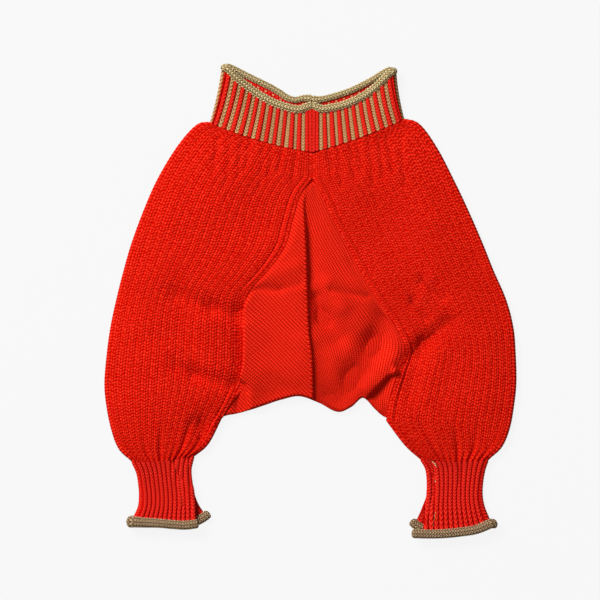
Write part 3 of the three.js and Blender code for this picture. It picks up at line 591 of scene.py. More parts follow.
@dataclass
class Terrain:
    """Height of the middle of the front layer over the floor."""

    legs: dict[Side, Leg]
    loft_height: float = 4.3
    loft_reach: float = 20.0
    crease_reach: float = 7.0
    cuff_level: float = -150.0
    cuff_taper: float = 60.0
    sway: float = 0.3
    gather_wander: float = 1.6

    def __post_init__(self) -> None:
        """Traces the edges of the garment in plan."""
        leg_rows = np.linspace(0, LAST_ROW, 29)
        inseam_rows = np.linspace(CORNER_ROW, LAST_ROW, 5)
        lines = [leg.plan("outer", leg_rows) for leg in self.legs.values()]
        lines += [leg.plan("seam", inseam_rows) for leg in self.legs.values()]
        for rows in (LEFT_CUFF_ROWS, RIGHT_CUFF_ROWS):
            for edge in ("outer", "seam"):
                lines.append(np.stack([column(rows, edge + "_x"), column(rows, edge + "_y")], -1))
        entries = np.linspace(0, len(CROTCH_EDGE) - 1, 21)
        lines.append(np.stack([smooth_value(column(CROTCH_EDGE, axis), entries) for axis in "xy"], -1))
        self.edges = lines

    @property
    def fold_top(self) -> float:
        """Height of the front's middle where it turns over a side fold."""
        return LEG_WALL / 2 + 2 * LEG_FOLD

    def distance_to_edge(self, x: Array, y: Array) -> Array:
        """Distance in plan to the nearest edge of the garment.

        Args:
            x: Places in plan.
            y: Places in plan.

        Returns:
            One distance for each point.
        """
        nearest = np.full(np.broadcast(x, y).shape, np.inf)
        for line in self.edges:
            for start, end in zip(line[:-1], line[1:]):
                nearest = np.minimum(nearest, distance_to_segment(x, y, Spot(*start), Spot(*end)))
        return nearest

    def gather_rise(self, x: Array, y: Array) -> Array:
        """Height that the gathers under the waistband add.

        Args:
            x: Places in plan.
            y: Places in plan.

        Returns:
            One height for each point.
        """
        rise = np.zeros(np.broadcast(x, y).shape)
        for g in GATHERS:
            for k in range(g.count):
                wander = self.gather_wander * math.sin(2.4 * k + g.first_x)
                top_x = mix(g.first_x, g.last_x, k / (g.count - 1)) + wander
                length = g.length * (0.65, 1, 0.8)[k % 3]
                end_x = top_x + g.slant * length * (1.4, 0.8, 1)[k % 3]
                distance = distance_to_segment(x, y, Spot(top_x, g.top_y), Spot(end_x, g.top_y - length))
                rise += g.rise * (1, 0.7, 0.85)[k % 3] * bump(distance, g.width)
        return rise

    def level(self, x: Array, y: Array) -> Array:
        """Height of the front's middle at points in plan.

        Args:
            x: Places in plan.
            y: Places in plan.

        Returns:
            One height for each point.
        """
        distance = self.distance_to_edge(x, y)
        taper = smoothstep(y, self.cuff_level, self.cuff_level + self.cuff_taper)
        sway = self.sway * (np.sin(x / 17 + 1.3 * np.sin(y / 31)) + np.sin(y / 14 + 1.7 * np.sin(x / 23)))
        loft = self.loft_height * (1 - bump(distance, self.loft_reach)) * taper
        folds = crease_rise(x, y, CREASES) + self.gather_rise(x, y) + sway
        level = self.fold_top + loft + folds * (1 - bump(distance, self.crease_reach))
        return np.maximum(level, LOWEST_LEVEL)

    def leg_level(self, x: Array, y: Array) -> Array:
        """Height of the front's middle on the legs, which dip under the gusset's left fold."""
        return np.maximum(self.level(x, y) + crease_rise(x, y, LEG_DIPS), LOWEST_LEVEL)


@dataclass
class Drafting:
    """Where the drafting plan lies in the frame."""

    terrain: Terrain

    def __post_init__(self) -> None:
        """Finds the shift from the waistband's middle seam and the lowest point of the right cuff roll."""
        middle = (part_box("waistband_left")[1][0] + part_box("waistband_right")[0][0]) / 2 / MM
        entries = np.linspace(0, len(CUFF_ROLL_FRONT[Side.RIGHT]) - 1, 101)
        lowest = smooth_value(column(CUFF_ROLL_FRONT[Side.RIGHT], "y"), entries).min() - CUFF_ROLL[0] / 2
        self.shift = np.array([middle - WAIST_MIDDLE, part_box("cuff_roll_right")[0][1] / MM - lowest, 0])

    def metres(self, points: Array) -> Array:
        """Points of the plan in the frame's metres."""
        return (points + self.shift) * MM


@dataclass
class Surface:
    """A grid of points on the middle of a wall, with what lies on it.

    Rows run down the first axis and columns along the second.
    """

    middle: Array
    wale: Array
    course: Array
    relief: Array
    wall: float

    def normals(self) -> Array:
        """Directions in which the outside faces, up on the front.

        Returns:
            One direction for each point.
        """
        across = np.gradient(self.middle, axis=1)
        down = np.gradient(self.middle, axis=0)
        normal = unit(np.cross(across, down))
        rows, columns = normal.shape[:2]
        return normal if normal[rows // 2, columns // 4, 2] > 0 else -normal


@dataclass
class Fabricator:
    """Turns grids into meshes in the scene."""

    drafting: Drafting
    sharp_angle: float = 75.0
    weld_reach: float = 1e-7

    def grid_faces(self, rows: int, columns: int, start: int, flip: bool) -> Array:
        """Quads of a grid of vertices.

        Args:
            rows: Vertices down the grid.
            columns: Vertices across it.
            start: Index of its first vertex.
            flip: Whether the faces look the other way.

        Returns:
            An array of four indices for each face.
        """
        index = np.arange(rows * columns).reshape(rows, columns) + start
        quads = np.stack([index[:-1, :-1], index[1:, :-1], index[1:, 1:], index[:-1, 1:]], -1).reshape(-1, 4)
        return quads[:, ::-1] if flip else quads

    def mesh(
        self,
        name: str,
        points: Array,
        faces: Array,
        stitches: Array,
        materials: Sequence[Material],
        looks: Array | None = None,
        caps: Sequence[list[int]] = (),
    ) -> Object:
        """Makes a smooth mesh object with a map of its stitches.

        Args:
            name: Name of the piece.
            points: Its vertices in plan millimetres.
            faces: Its quads.
            stitches: Wale and course of each vertex.
            materials: Its finishes.
            looks: Which finish each quad has.
            caps: Further faces with more corners, which have the first finish.

        Returns:
            The object, linked to the scene.
        """
        data = bpy.data.meshes.new(name)
        data.from_pydata(self.drafting.metres(points).tolist(), [], faces.tolist() + list(caps))
        for material in materials:
            data.materials.append(material)
        indices = np.zeros(len(data.polygons), int)
        if looks is not None:
            indices[: len(looks)] = looks
        data.polygons.foreach_set("material_index", indices)
        data.polygons.foreach_set("use_smooth", np.ones(len(data.polygons), bool))
        data.set_sharp_from_angle(angle=math.radians(self.sharp_angle))
        loops = np.zeros(len(data.loops), int)
        data.loops.foreach_get("vertex_index", loops)
        layer = data.uv_layers.new(name="Stitches")
        layer.data.foreach_set("uv", stitches[loops].ravel())
        data.update()
        piece = bpy.data.objects.new(name, data)
        bpy.context.scene.collection.objects.link(piece)
        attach(piece, BODY)
        return piece

    def sheet(self, name: str, surface: Surface, material: Material) -> Object:
        """Makes the outside of a wall, with its four edges turned in.

        Args:
            name: Name of the piece.
            surface: Its grid.
            material: Its finish.

        Returns:
            The piece.
        """
        pad = ((1, 1), (1, 1))
        middle = np.pad(surface.middle, (*pad, (0, 0)), mode="edge")
        normal = np.pad(surface.normals(), (*pad, (0, 0)), mode="edge")
        offset = np.pad(surface.wall / 2 + surface.relief, pad, constant_values=-surface.wall / 2)
        points = middle + normal * offset[..., None]
        points[..., 2] = np.maximum(points[..., 2], 0)
        rows, columns = offset.shape
        upward = normal[rows // 2, columns // 4, 2]
        cross = np.cross(points[1:, :-1] - points[:-1, :-1], points[:-1, 1:] - points[:-1, :-1])
        flip = (cross * normal[:-1, :-1]).sum(-1).mean() * (1 if upward > 0 else -1) < 0
        stitches = np.stack([np.pad(grid, pad, mode="edge") for grid in (surface.wale, surface.course)], -1)
        faces = self.grid_faces(rows, columns, 0, bool(flip))
        return self.mesh(name, points.reshape(-1, 3), faces, stitches.reshape(-1, 2), [material])

    def shell(
        self, name: str, surface: Surface, outside: Material, inside: Material
    ) -> Object:
        """Makes a closed wall with a plain inside.

        Args:
            name: Name of the piece.
            surface: Its grid.
            outside: Finish of its outside.
            inside: Finish of its inside.

        Returns:
            The piece.
        """
        normal = surface.normals()
        outer = surface.middle + normal * (surface.wall / 2 + surface.relief)[..., None]
        inner = surface.middle - normal * (surface.wall / 2)
        outer[..., 2] = np.maximum(outer[..., 2], 0)
        rows, columns = surface.relief.shape
        cross = np.cross(outer[1:, :-1] - outer[:-1, :-1], outer[:-1, 1:] - outer[:-1, :-1])
        flip = bool((cross * normal[:-1, :-1]).sum(-1).mean() < 0)
        size = rows * columns
        faces = [self.grid_faces(rows, columns, 0, flip), self.grid_faces(rows, columns, size, not flip)]
        index = np.arange(size).reshape(rows, columns)
        border = np.concatenate([index[0, :-1], index[:-1, -1], index[-1, :0:-1], index[:0:-1, 0]])
        ahead = np.roll(border, -1)
        rim = np.stack([border, ahead, ahead + size, border + size], -1)
        faces.append(rim if not flip else rim[:, ::-1])
        looks = np.repeat([0, 1, 0], [len(part) for part in faces])
        stitches = np.tile(np.stack([surface.wale, surface.course], -1).reshape(-1, 2), (2, 1))
        points = np.concatenate([outer.reshape(-1, 3), inner.reshape(-1, 3)])
        return self.mesh(name, points, np.concatenate(faces), stitches, [outside, inside], looks)

    def weld(self, piece: Object) -> None:
        """Joins the two sides of the seam along a tube.

        Args:
            piece: The tube.
        """
        work = bmesh.new()
        work.from_mesh(piece.data)
        bmesh.ops.remove_doubles(work, verts=work.verts, dist=self.weld_reach)
        bmesh.ops.recalc_face_normals(work, faces=work.faces)
        work.to_mesh(piece.data)
        work.free()


@dataclass
class Columns:
    """Columns of a folded panel, with the wale that each lies on."""

    zone: Array
    at: Array
    wale: Array

    @classmethod
    def spread(
        cls,
        front: Array,
        front_wales: Array,
        edge: int,
        fold: int,
        back: int,
        wales: tuple[int, int, int],
    ) -> "Columns":
        """Lays out the columns of all five zones.

        Args:
            front: Places across the front, from 0 at its edge to 1 at the side fold.
            front_wales: Wale at each of those places.
            edge: Columns of each edge zone.
            fold: Columns round the side fold.
            back: Columns across the back.
            wales: Wales in an edge zone, in the fold and across the back.

        Returns:
            The columns.
        """
        edge_at = np.arange(edge) / edge
        fold_at = np.arange(1, fold + 1) / (fold + 1)
        back_at = np.linspace(0, 1, back + 1)
        in_edge, in_fold, in_back = wales
        last = front_wales[-1]
        parts = [
            (Zone.FRONT_EDGE, edge_at, front_wales[0] - in_edge * (1 - edge_at)),
            (Zone.FRONT, front, front_wales),
            (Zone.FOLD, fold_at, last + in_fold * fold_at),
            (Zone.BACK, back_at, last + in_fold + in_back * back_at),
            (Zone.BACK_EDGE, edge_at[::-1], last + in_fold + in_back + in_edge * (1 - edge_at[::-1])),
        ]
        return cls(
            np.concatenate([np.full(len(at), zone.value) for zone, at, _ in parts]),
            np.concatenate([at for _, at, _ in parts]),
            np.concatenate([wale for _, _, wale in parts]),
        )

    def of(self, zone: Zone) -> Array:
        """Mask of the columns in one zone."""
        return self.zone == zone.value


@dataclass
class FoldedPanel:
    """A panel folded in two at the side, with one entry of each value for each row."""

    seam: Array
    outer: Array
    back: Array
    sag: Array
    radius: Array
    closed: Array
    wall: float
    level: Callable[[Array, Array], Array]
    fold_inset: float = 1.1

    def edge(self, front: bool, at: Array) -> Array:
        """Points where the panel runs to its seam, or turns round to meet itself at a closed inseam.

        Args:
            front: Whether the edge is the front one.
            at: Places from 0 at the seam to 1 at the end of the edge zone.

        Returns:
            A grid of points.
        """
        start = self.seam if front else self.back
        outward = unit(self.outer - start)
        middle = self.wall / 2 + self.radius[:, None]
        radius = self.radius[:, None]
        angle = math.pi / 2 * (1 - at)[None, :]
        flat = start[:, None] + outward[:, None] * (SEAM_GAP / 2 + at[None] * math.pi / 2 * radius)[..., None]
        turn = start[:, None] + outward[:, None] * (radius * (1 - np.sin(angle)) + self.wall / 2)[..., None]
        plan = mix(flat, turn, self.closed[:, None, None])
        half_gap = SEAM_GAP / 2
        if front:
            flat_z = self.level(flat[..., 0], flat[..., 1])
            turn_rise = self.level(turn[..., 0], turn[..., 1]) - middle - half_gap
            turn_z = middle + half_gap + turn_rise * np.cos(angle)
        else:
            flat_z = np.full(plan.shape[:2], self.wall / 2)
            turn_z = middle - half_gap - (radius - half_gap) * np.cos(angle)
        z = mix(flat_z, turn_z, self.closed[:, None])
        return np.concatenate([plan, z[..., None]], -1)

    def layer(self, start: Array, end: Array, at: Array) -> Array:
        """Plan of one layer, whose rows sag between their two ends.

        Args:
            start: Plan point at which each row starts.
            end: Plan point at which each row ends.
            at: Places across the layer from 0 to 1.

        Returns:
            A grid of points in plan.
        """
        plan = mix(start[:, None], end[:, None], at[None, :, None])
        plan[..., 1] -= 4 * self.sag[:, None] * (at * (1 - at))[None]
        return plan

    def points(self, columns: Columns) -> Array:
        """Middle points of the whole panel.

        Args:
            columns: Where its columns lie.

        Returns:
            A grid of points, one row for each row of the panel.
        """
        grid = np.zeros((len(self.sag), len(columns.at), 3))
        one = np.ones(1)
        front_start = self.edge(True, one)[:, 0, :2]
        back_end = self.edge(False, one)[:, 0, :2]
        fold_out = unit(unit(self.outer - self.seam) + unit(self.outer - self.back))
        fold = self.outer - fold_out * (self.radius + self.wall / 2 + self.fold_inset)[:, None]
        middle = self.wall / 2 + self.radius
        grid[:, columns.of(Zone.FRONT_EDGE)] = self.edge(True, columns.at[columns.of(Zone.FRONT_EDGE)])
        grid[:, columns.of(Zone.BACK_EDGE)] = self.edge(False, columns.at[columns.of(Zone.BACK_EDGE)])
        plan = self.layer(front_start, fold, columns.at[columns.of(Zone.FRONT)])
        grid[:, columns.of(Zone.FRONT)] = np.dstack([plan, self.level(plan[..., 0], plan[..., 1])])
        plan = self.layer(fold, back_end, columns.at[columns.of(Zone.BACK)])
        grid[:, columns.of(Zone.BACK)] = np.dstack([plan, np.full(plan.shape[:2], self.wall / 2)])
        angle = math.pi * columns.at[columns.of(Zone.FOLD)][None, :]
        plan = fold[:, None] + fold_out[:, None] * (self.radius[:, None] * np.sin(angle))[..., None]
        top = self.level(fold[:, 0], fold[:, 1])[:, None] - middle[:, None]
        height = np.where(angle < math.pi / 2, top, self.radius[:, None])
        z = middle[:, None] + height * np.cos(angle)
        grid[:, columns.of(Zone.FOLD)] = np.dstack([plan, z])
        return grid


def linear(red: int, green: int, blue: int) -> tuple[float, float, float, float]:
    """Linear colour of a screen colour in steps of 0 to 255."""
    values = [v / 255 for v in (red, green, blue)]
    return (*[v / 12.92 if v <= 0.04045 else ((v + 0.055) / 1.055) ** 2.4 for v in values], 1.0)


@dataclass
class Wiring:
    """Short hand for adding nodes to a tree."""

    tree: NodeTree

    def node(self, kind: str, inputs: dict | None = None, **settings: object) -> Node:
        """Adds a node, sets its properties, and links or sets its inputs.

        Args:
            kind: Type of the node.
            inputs: Links or values by the name or the number of the input.
            settings: Properties of the node.

        Returns:
            The node.
        """
        made = self.tree.nodes.new(kind)
        for name, value in settings.items():
            setattr(made, name, value)
        self.fill(made, inputs or {})
        return made

    def fill(self, node: Node, inputs: dict) -> None:
        """Links or sets the inputs of a node.

        Args:
            node: The node.
            inputs: Links or values by the name or the number of the input.
        """
        for name, value in inputs.items():
            if isinstance(value, NodeSocket):
                self.tree.links.new(value, node.inputs[name])
            else:
                node.inputs[name].default_value = value

    def math(self, operation: str, *values: object, clamp: bool = False) -> NodeSocket:
        """Adds a Math node and gives its result."""
        made = self.node("ShaderNodeMath", dict(enumerate(values)), operation=operation, use_clamp=clamp)
        return made.outputs[0]

    def noise(self, place: NodeSocket, scale: float, detail: float) -> NodeSocket:
        """Adds a noise texture and gives its value, which swings about nought."""
        made = self.node("ShaderNodeTexNoise", {"Vector": place, "Scale": scale, "Detail": detail})
        return self.math("SUBTRACT", made.outputs[0], 0.5)

    def blend(self, factor: object, low: object, high: object, kind: str = "MIX") -> NodeSocket:
        """Adds a colour mix and gives its result.

        Args:
            factor: How much of the second colour shows.
            low: The first colour.
            high: The second colour.
            kind: How they mix.

        Returns:
            The mixed colour.
        """
        made = self.node("ShaderNodeMix", data_type="RGBA", blend_type=kind)
        self.fill(made, {0: factor, 6: low, 7: high})
        return made.outputs[2]

    def ramp(self, value: object, low: float, high: float, start: float = 0.0, end: float = 1.0) -> object:
        """Maps a value from one range to another, smoothly and clamped."""
        inputs = {"Value": value, "From Min": low, "From Max": high, "To Min": start, "To Max": end}
        return self.node("ShaderNodeMapRange", inputs, interpolation_type="SMOOTHSTEP").outputs[0]


def new_group(name: str, inputs: dict[str, tuple], outputs: dict[str, str]) -> tuple[Wiring, object, object]:
    """Makes an empty shader group.

    Args:
        name: Name of the group.
        inputs: Socket type and first value of each input.
        outputs: Socket type of each output.

    Returns:
        Its wiring, its inputs and its output node.
    """
    tree = bpy.data.node_groups.new(name, "ShaderNodeTree")
    for label, (kind, value) in inputs.items():
        socket = tree.interface.new_socket(label, in_out="INPUT", socket_type=kind)
        if value is not None:
            socket.default_value = value
    for label, kind in outputs.items():
        tree.interface.new_socket(label, in_out="OUTPUT", socket_type=kind)
    wires = Wiring(tree)
    return wires, wires.node("NodeGroupInput").outputs, wires.node("NodeGroupOutput")


@dataclass
class KnitGroups:
    """Shader groups that the finishes share."""

    def __post_init__(self) -> None:
        """Builds each group once."""
        self.stitch = self.build_stitch()
        self.yarn = self.build_yarn()
        self.stripe = self.build_stripe()

    def build_stitch(self) -> NodeTree:
        """Relief of knit stitches, with fuzz, from the map of stitches.

        Returns:
            The group.
        """
        wires, given, result = new_group(
            "Knit stitch",
            {
                "Stitches": ("NodeSocketVector", None),
                "Lean": ("NodeSocketFloat", 1.0),
                "Floor": ("NodeSocketFloat", 0.3),
                "Groove": ("NodeSocketFloat", 0.2),
                "Zigzag": ("NodeSocketFloat", 0.0),
                "Thinness": ("NodeSocketFloat", 1.0),
                "Unevenness": ("NodeSocketFloat", 0.2),
                "Fuzz": ("NodeSocketFloat", 0.15),
            },
            {"Height": "NodeSocketFloat", "Hollow": "NodeSocketFloat"},
        )
        wobble = wires.noise(given["Stitches"], scale=0.9, detail=1.0)
        shift = wires.math("MULTIPLY", wobble, given["Unevenness"])
        parts = wires.node("ShaderNodeSeparateXYZ", {0: given["Stitches"]})
        wale = wires.math("ADD", parts.outputs[0], shift)
        aside = wires.math("ABSOLUTE", wires.math("SUBTRACT", wires.math("FRACT", wale), 0.5))
        wide = wires.math("MULTIPLY", aside, 2.0)
        strand = wires.math("SUBTRACT", 1.0, wires.math("MULTIPLY", wide, wide))
        groove = wires.math("SUBTRACT", 1.0, wires.math("MULTIPLY", aside, 5.0), clamp=True)
        groove = wires.math("MULTIPLY", groove, given["Groove"])
        strand = wires.math("SUBTRACT", strand, groove)
        rib = wires.math("FRACT", wires.math("DIVIDE", wale, 3.0))
        off_rib = wires.math("ABSOLUTE", wires.math("SUBTRACT", rib, 0.5))
        zigzag = wires.math("MULTIPLY", wires.math("MULTIPLY", off_rib, 2.0), given["Zigzag"])
        course = wires.math("ADD", parts.outputs[1], wires.math("MULTIPLY", shift, 1.5))
        course = wires.math("ADD", course, wires.math("MULTIPLY", aside, given["Lean"]))
        course = wires.math("ADD", course, zigzag)
        wave = wires.math("COSINE", wires.math("MULTIPLY", course, 2 * math.pi))
        wave = wires.math("ADD", wires.math("MULTIPLY", wave, 0.5), 0.5, clamp=True)
        wave = wires.math("POWER", wave, given["Thinness"])
        spare = wires.math("SUBTRACT", 1.0, given["Floor"])
        wave = wires.math("ADD", wires.math("MULTIPLY", wave, spare), given["Floor"])
        relief = wires.math("MULTIPLY", strand, wave)
        fibres = wires.noise(given["Stitches"], scale=7.0, detail=3.0)
        fuzz = wires.math("MULTIPLY", fibres, given["Fuzz"])
        # Depth between the stitches, which the yarn group turns into painted shade and rougher wool.
        hollow = wires.ramp(relief, 0.05, 0.75, 1.0, 0.0)
        wires.fill(result, {"Height": wires.math("ADD", relief, fuzz), "Hollow": hollow})
        return wires.tree

    def build_yarn(self) -> NodeTree:
        """Colour and roughness of wool: painted shade in the hollows between stitches, uneven over the cloth,
        flecked by fibres.

        Returns:
            The group.
        """
        wires, given, result = new_group(
            "Wool yarn",
            {
                "Stitches": ("NodeSocketVector", None),
                "Hollow": ("NodeSocketFloat", 0.0),
                "Top": ("NodeSocketColor", (0.8, 0.8, 0.8, 1)),
                "Painted shade": ("NodeSocketColor", (0.2, 0.2, 0.2, 1)),
                "Mottle": ("NodeSocketFloat", 0.1),
                "Fleck": ("NodeSocketFloat", 0.1),
            },
            {"Color": "NodeSocketColor", "Roughness": "NodeSocketFloat"},
        )
        cloth = wires.noise(given["Stitches"], scale=0.07, detail=3.0)
        fibre = wires.noise(given["Stitches"], scale=1.3, detail=2.0)
        uneven = wires.math("MULTIPLY", cloth, given["Mottle"])
        fleck = wires.math("MULTIPLY", fibre, given["Fleck"])
        value = wires.math("ADD", 1.0, wires.math("MULTIPLY", wires.math("ADD", uneven, fleck), 2.0))
        # Painted shade: the hollows between stitches blend towards the yarn's darker second colour.
        colour = wires.blend(given["Hollow"], given["Top"], given["Painted shade"])
        shade = wires.node("ShaderNodeHueSaturation", {"Value": value, "Color": colour})
        rough = wires.ramp(given["Hollow"], 0.0, 1.0, 0.82, 0.98)
        wires.fill(result, {"Color": shade.outputs[0], "Roughness": rough})
        return wires.tree

    def build_stripe(self) -> NodeTree:
        """Mask of every second wale, from the first one on: 1 in the sunk stripes of the waistband.

        Returns:
            The group.
        """
        wires, given, result = new_group(
            "Wale stripe",
            {
                "Stitches": ("NodeSocketVector", None),
                "Inset": ("NodeSocketFloat", 0.0),
                "Dash": ("NodeSocketFloat", 0.0),
            },
            {"Mask": "NodeSocketFloat"},
        )
        parts = wires.node("ShaderNodeSeparateXYZ", {0: given["Stitches"]})
        phase = wires.math("FRACT", wires.math("MULTIPLY", parts.outputs[0], 0.5))
        middle = wires.math("ABSOLUTE", wires.math("SUBTRACT", phase, 0.25))
        width = wires.math("SUBTRACT", 0.25, given["Inset"])
        stripe = wires.math("LESS_THAN", middle, width)
        begun = wires.math("GREATER_THAN", parts.outputs[0], 0.0)
        beat = wires.math("FRACT", parts.outputs[1])
        dash = wires.math("GREATER_THAN", beat, given["Dash"])
        mask = wires.math("MULTIPLY", wires.math("MULTIPLY", stripe, begun), dash)
        wires.fill(result, {"Mask": mask})
        return wires.tree


@dataclass(frozen=True)
class Yarn:
    """Colours of a yarn: its own colour on top of its stitches, and painted shade for the hollows between
    them.
    """

    top: tuple[float, float, float, float]
    painted_shade: tuple[float, float, float, float]
    mottle: float = 0.10
    fleck: float = 0.12


# Each yarn's second colour is painted shade for the hollows between its stitches.
RED = Yarn((0.89, 0.027, 0.010, 1), (0.48, 0.002, 0.0, 1), 0.10, 0.12)
RED_FINE = Yarn((0.94, 0.028, 0.010, 1), (0.40, 0.001, 0.0, 1), 0.08, 0.10)
RED_CUFF = Yarn((0.88, 0.031, 0.017, 1), (0.42, 0.002, 0.001, 1), 0.10, 0.14)
TAN = Yarn(linear(212, 168, 116), linear(108, 64, 30), 0.14, 0.2)
KHAKI = Yarn(linear(255, 240, 192), linear(124, 96, 48), 0.10, 0.08)
OLIVE_TAN = Yarn(linear(222, 192, 152), linear(92, 66, 44), 0.12, 0.12)


@dataclass(frozen=True)
class KnitFinish:
    """A knitted cloth: its yarn, the form of its stitches, and a second yarn in its stripes."""

    name: str
    yarn: Yarn
    form: Stitch
    relief: float
    stripe: Yarn | None = None
    stripe_inset: float = 0.0
    dash: float = 0.0
    unevenness: float = 0.2

    def material(self, groups: KnitGroups) -> Material:
        """Makes the finish's material.

        Args:
            groups: The shared shader groups.

        Returns:
            The material.
        """
        made = bpy.data.materials.new(self.name)
        made.use_nodes = True
        wires = Wiring(made.node_tree)
        shader = made.node_tree.nodes["Principled BSDF"]
        stitches = wires.node("ShaderNodeUVMap", uv_map="Stitches").outputs[0]
        form = {
            "Stitches": stitches,
            "Lean": self.form.lean,
            "Floor": self.form.floor,
            "Groove": self.form.groove,
            "Zigzag": self.form.zigzag,
            "Thinness": self.form.thinness,
            "Unevenness": self.unevenness,
        }
        stitch = wires.node("ShaderNodeGroup", form, node_tree=groups.stitch)
        colour = self.coloured(wires, groups, stitches, stitch.outputs["Hollow"], self.yarn)
        if self.stripe:
            second = self.coloured(wires, groups, stitches, stitch.outputs["Hollow"], self.stripe)
            stripe = {"Stitches": stitches, "Inset": self.stripe_inset, "Dash": self.dash}
            mask = wires.node("ShaderNodeGroup", stripe, node_tree=groups.stripe)
            blended = wires.blend(mask.outputs[0], colour.outputs["Color"], second.outputs["Color"])
        else:
            blended = colour.outputs["Color"]
        relief = {"Height": stitch.outputs["Height"], "Distance": self.relief * MM, "Strength": 1.0}
        raised = wires.node("ShaderNodeBump", relief)
        look = {
            "Base Color": blended,
            "Roughness": colour.outputs["Roughness"],
            "Normal": raised.outputs[0],
            "Specular IOR Level": 0.02,
            "Sheen Weight": 0.01,
            "Sheen Roughness": 0.45,
            "Sheen Tint": self.yarn.top,
        }
        wires.fill(shader, look)
        return made

    def coloured(
        self, wires: Wiring, groups: KnitGroups, stitches: object, hollow: object, yarn: Yarn
    ) -> Node:
        """Places the yarn group with the colours of one yarn.

        Args:
            wires: Wiring of the material.
            groups: The shared shader groups.
            stitches: Link to the map of stitches.
            hollow: Link to how deep each point lies.
            yarn: The yarn.

        Returns:
            The placed group.
        """
        # The yarn's second colour paints shade into the hollows between stitches.
        inputs = {
            "Stitches": stitches,
            "Hollow": hollow,
            "Top": yarn.top,
            "Painted shade": yarn.painted_shade,
            "Mottle": yarn.mottle,
            "Fleck": yarn.fleck,
        }
        return wires.node("ShaderNodeGroup", inputs, node_tree=groups.yarn)


LEG_KNIT = KnitFinish("Leg half cardigan knit", RED, LEG_STITCH, 0.6, unevenness=0.9)
GUSSET_KNIT = KnitFinish("Gusset stocking knit", RED_FINE, GUSSET_STITCH, 0.7)
CUFF_KNIT = KnitFinish("Cuff rib knit", RED_CUFF, CUFF_STITCH, 0.8)
WAIST_KNIT = KnitFinish("Waist striped knit", RED_CUFF, BAND_STITCH, 0.6, stripe=TAN)
WAIST_INSIDE = KnitFinish("Waist striped knit, inside", RED_CUFF, BAND_STITCH, 0.6, TAN, 0.12, 0.55)
WAIST_EDGE = KnitFinish("Waist edge roll knit", KHAKI, ROLL_STITCH, 0.6)
CUFF_EDGE = KnitFinish("Cuff edge roll knit", OLIVE_TAN, ROLL_STITCH, 0.5)


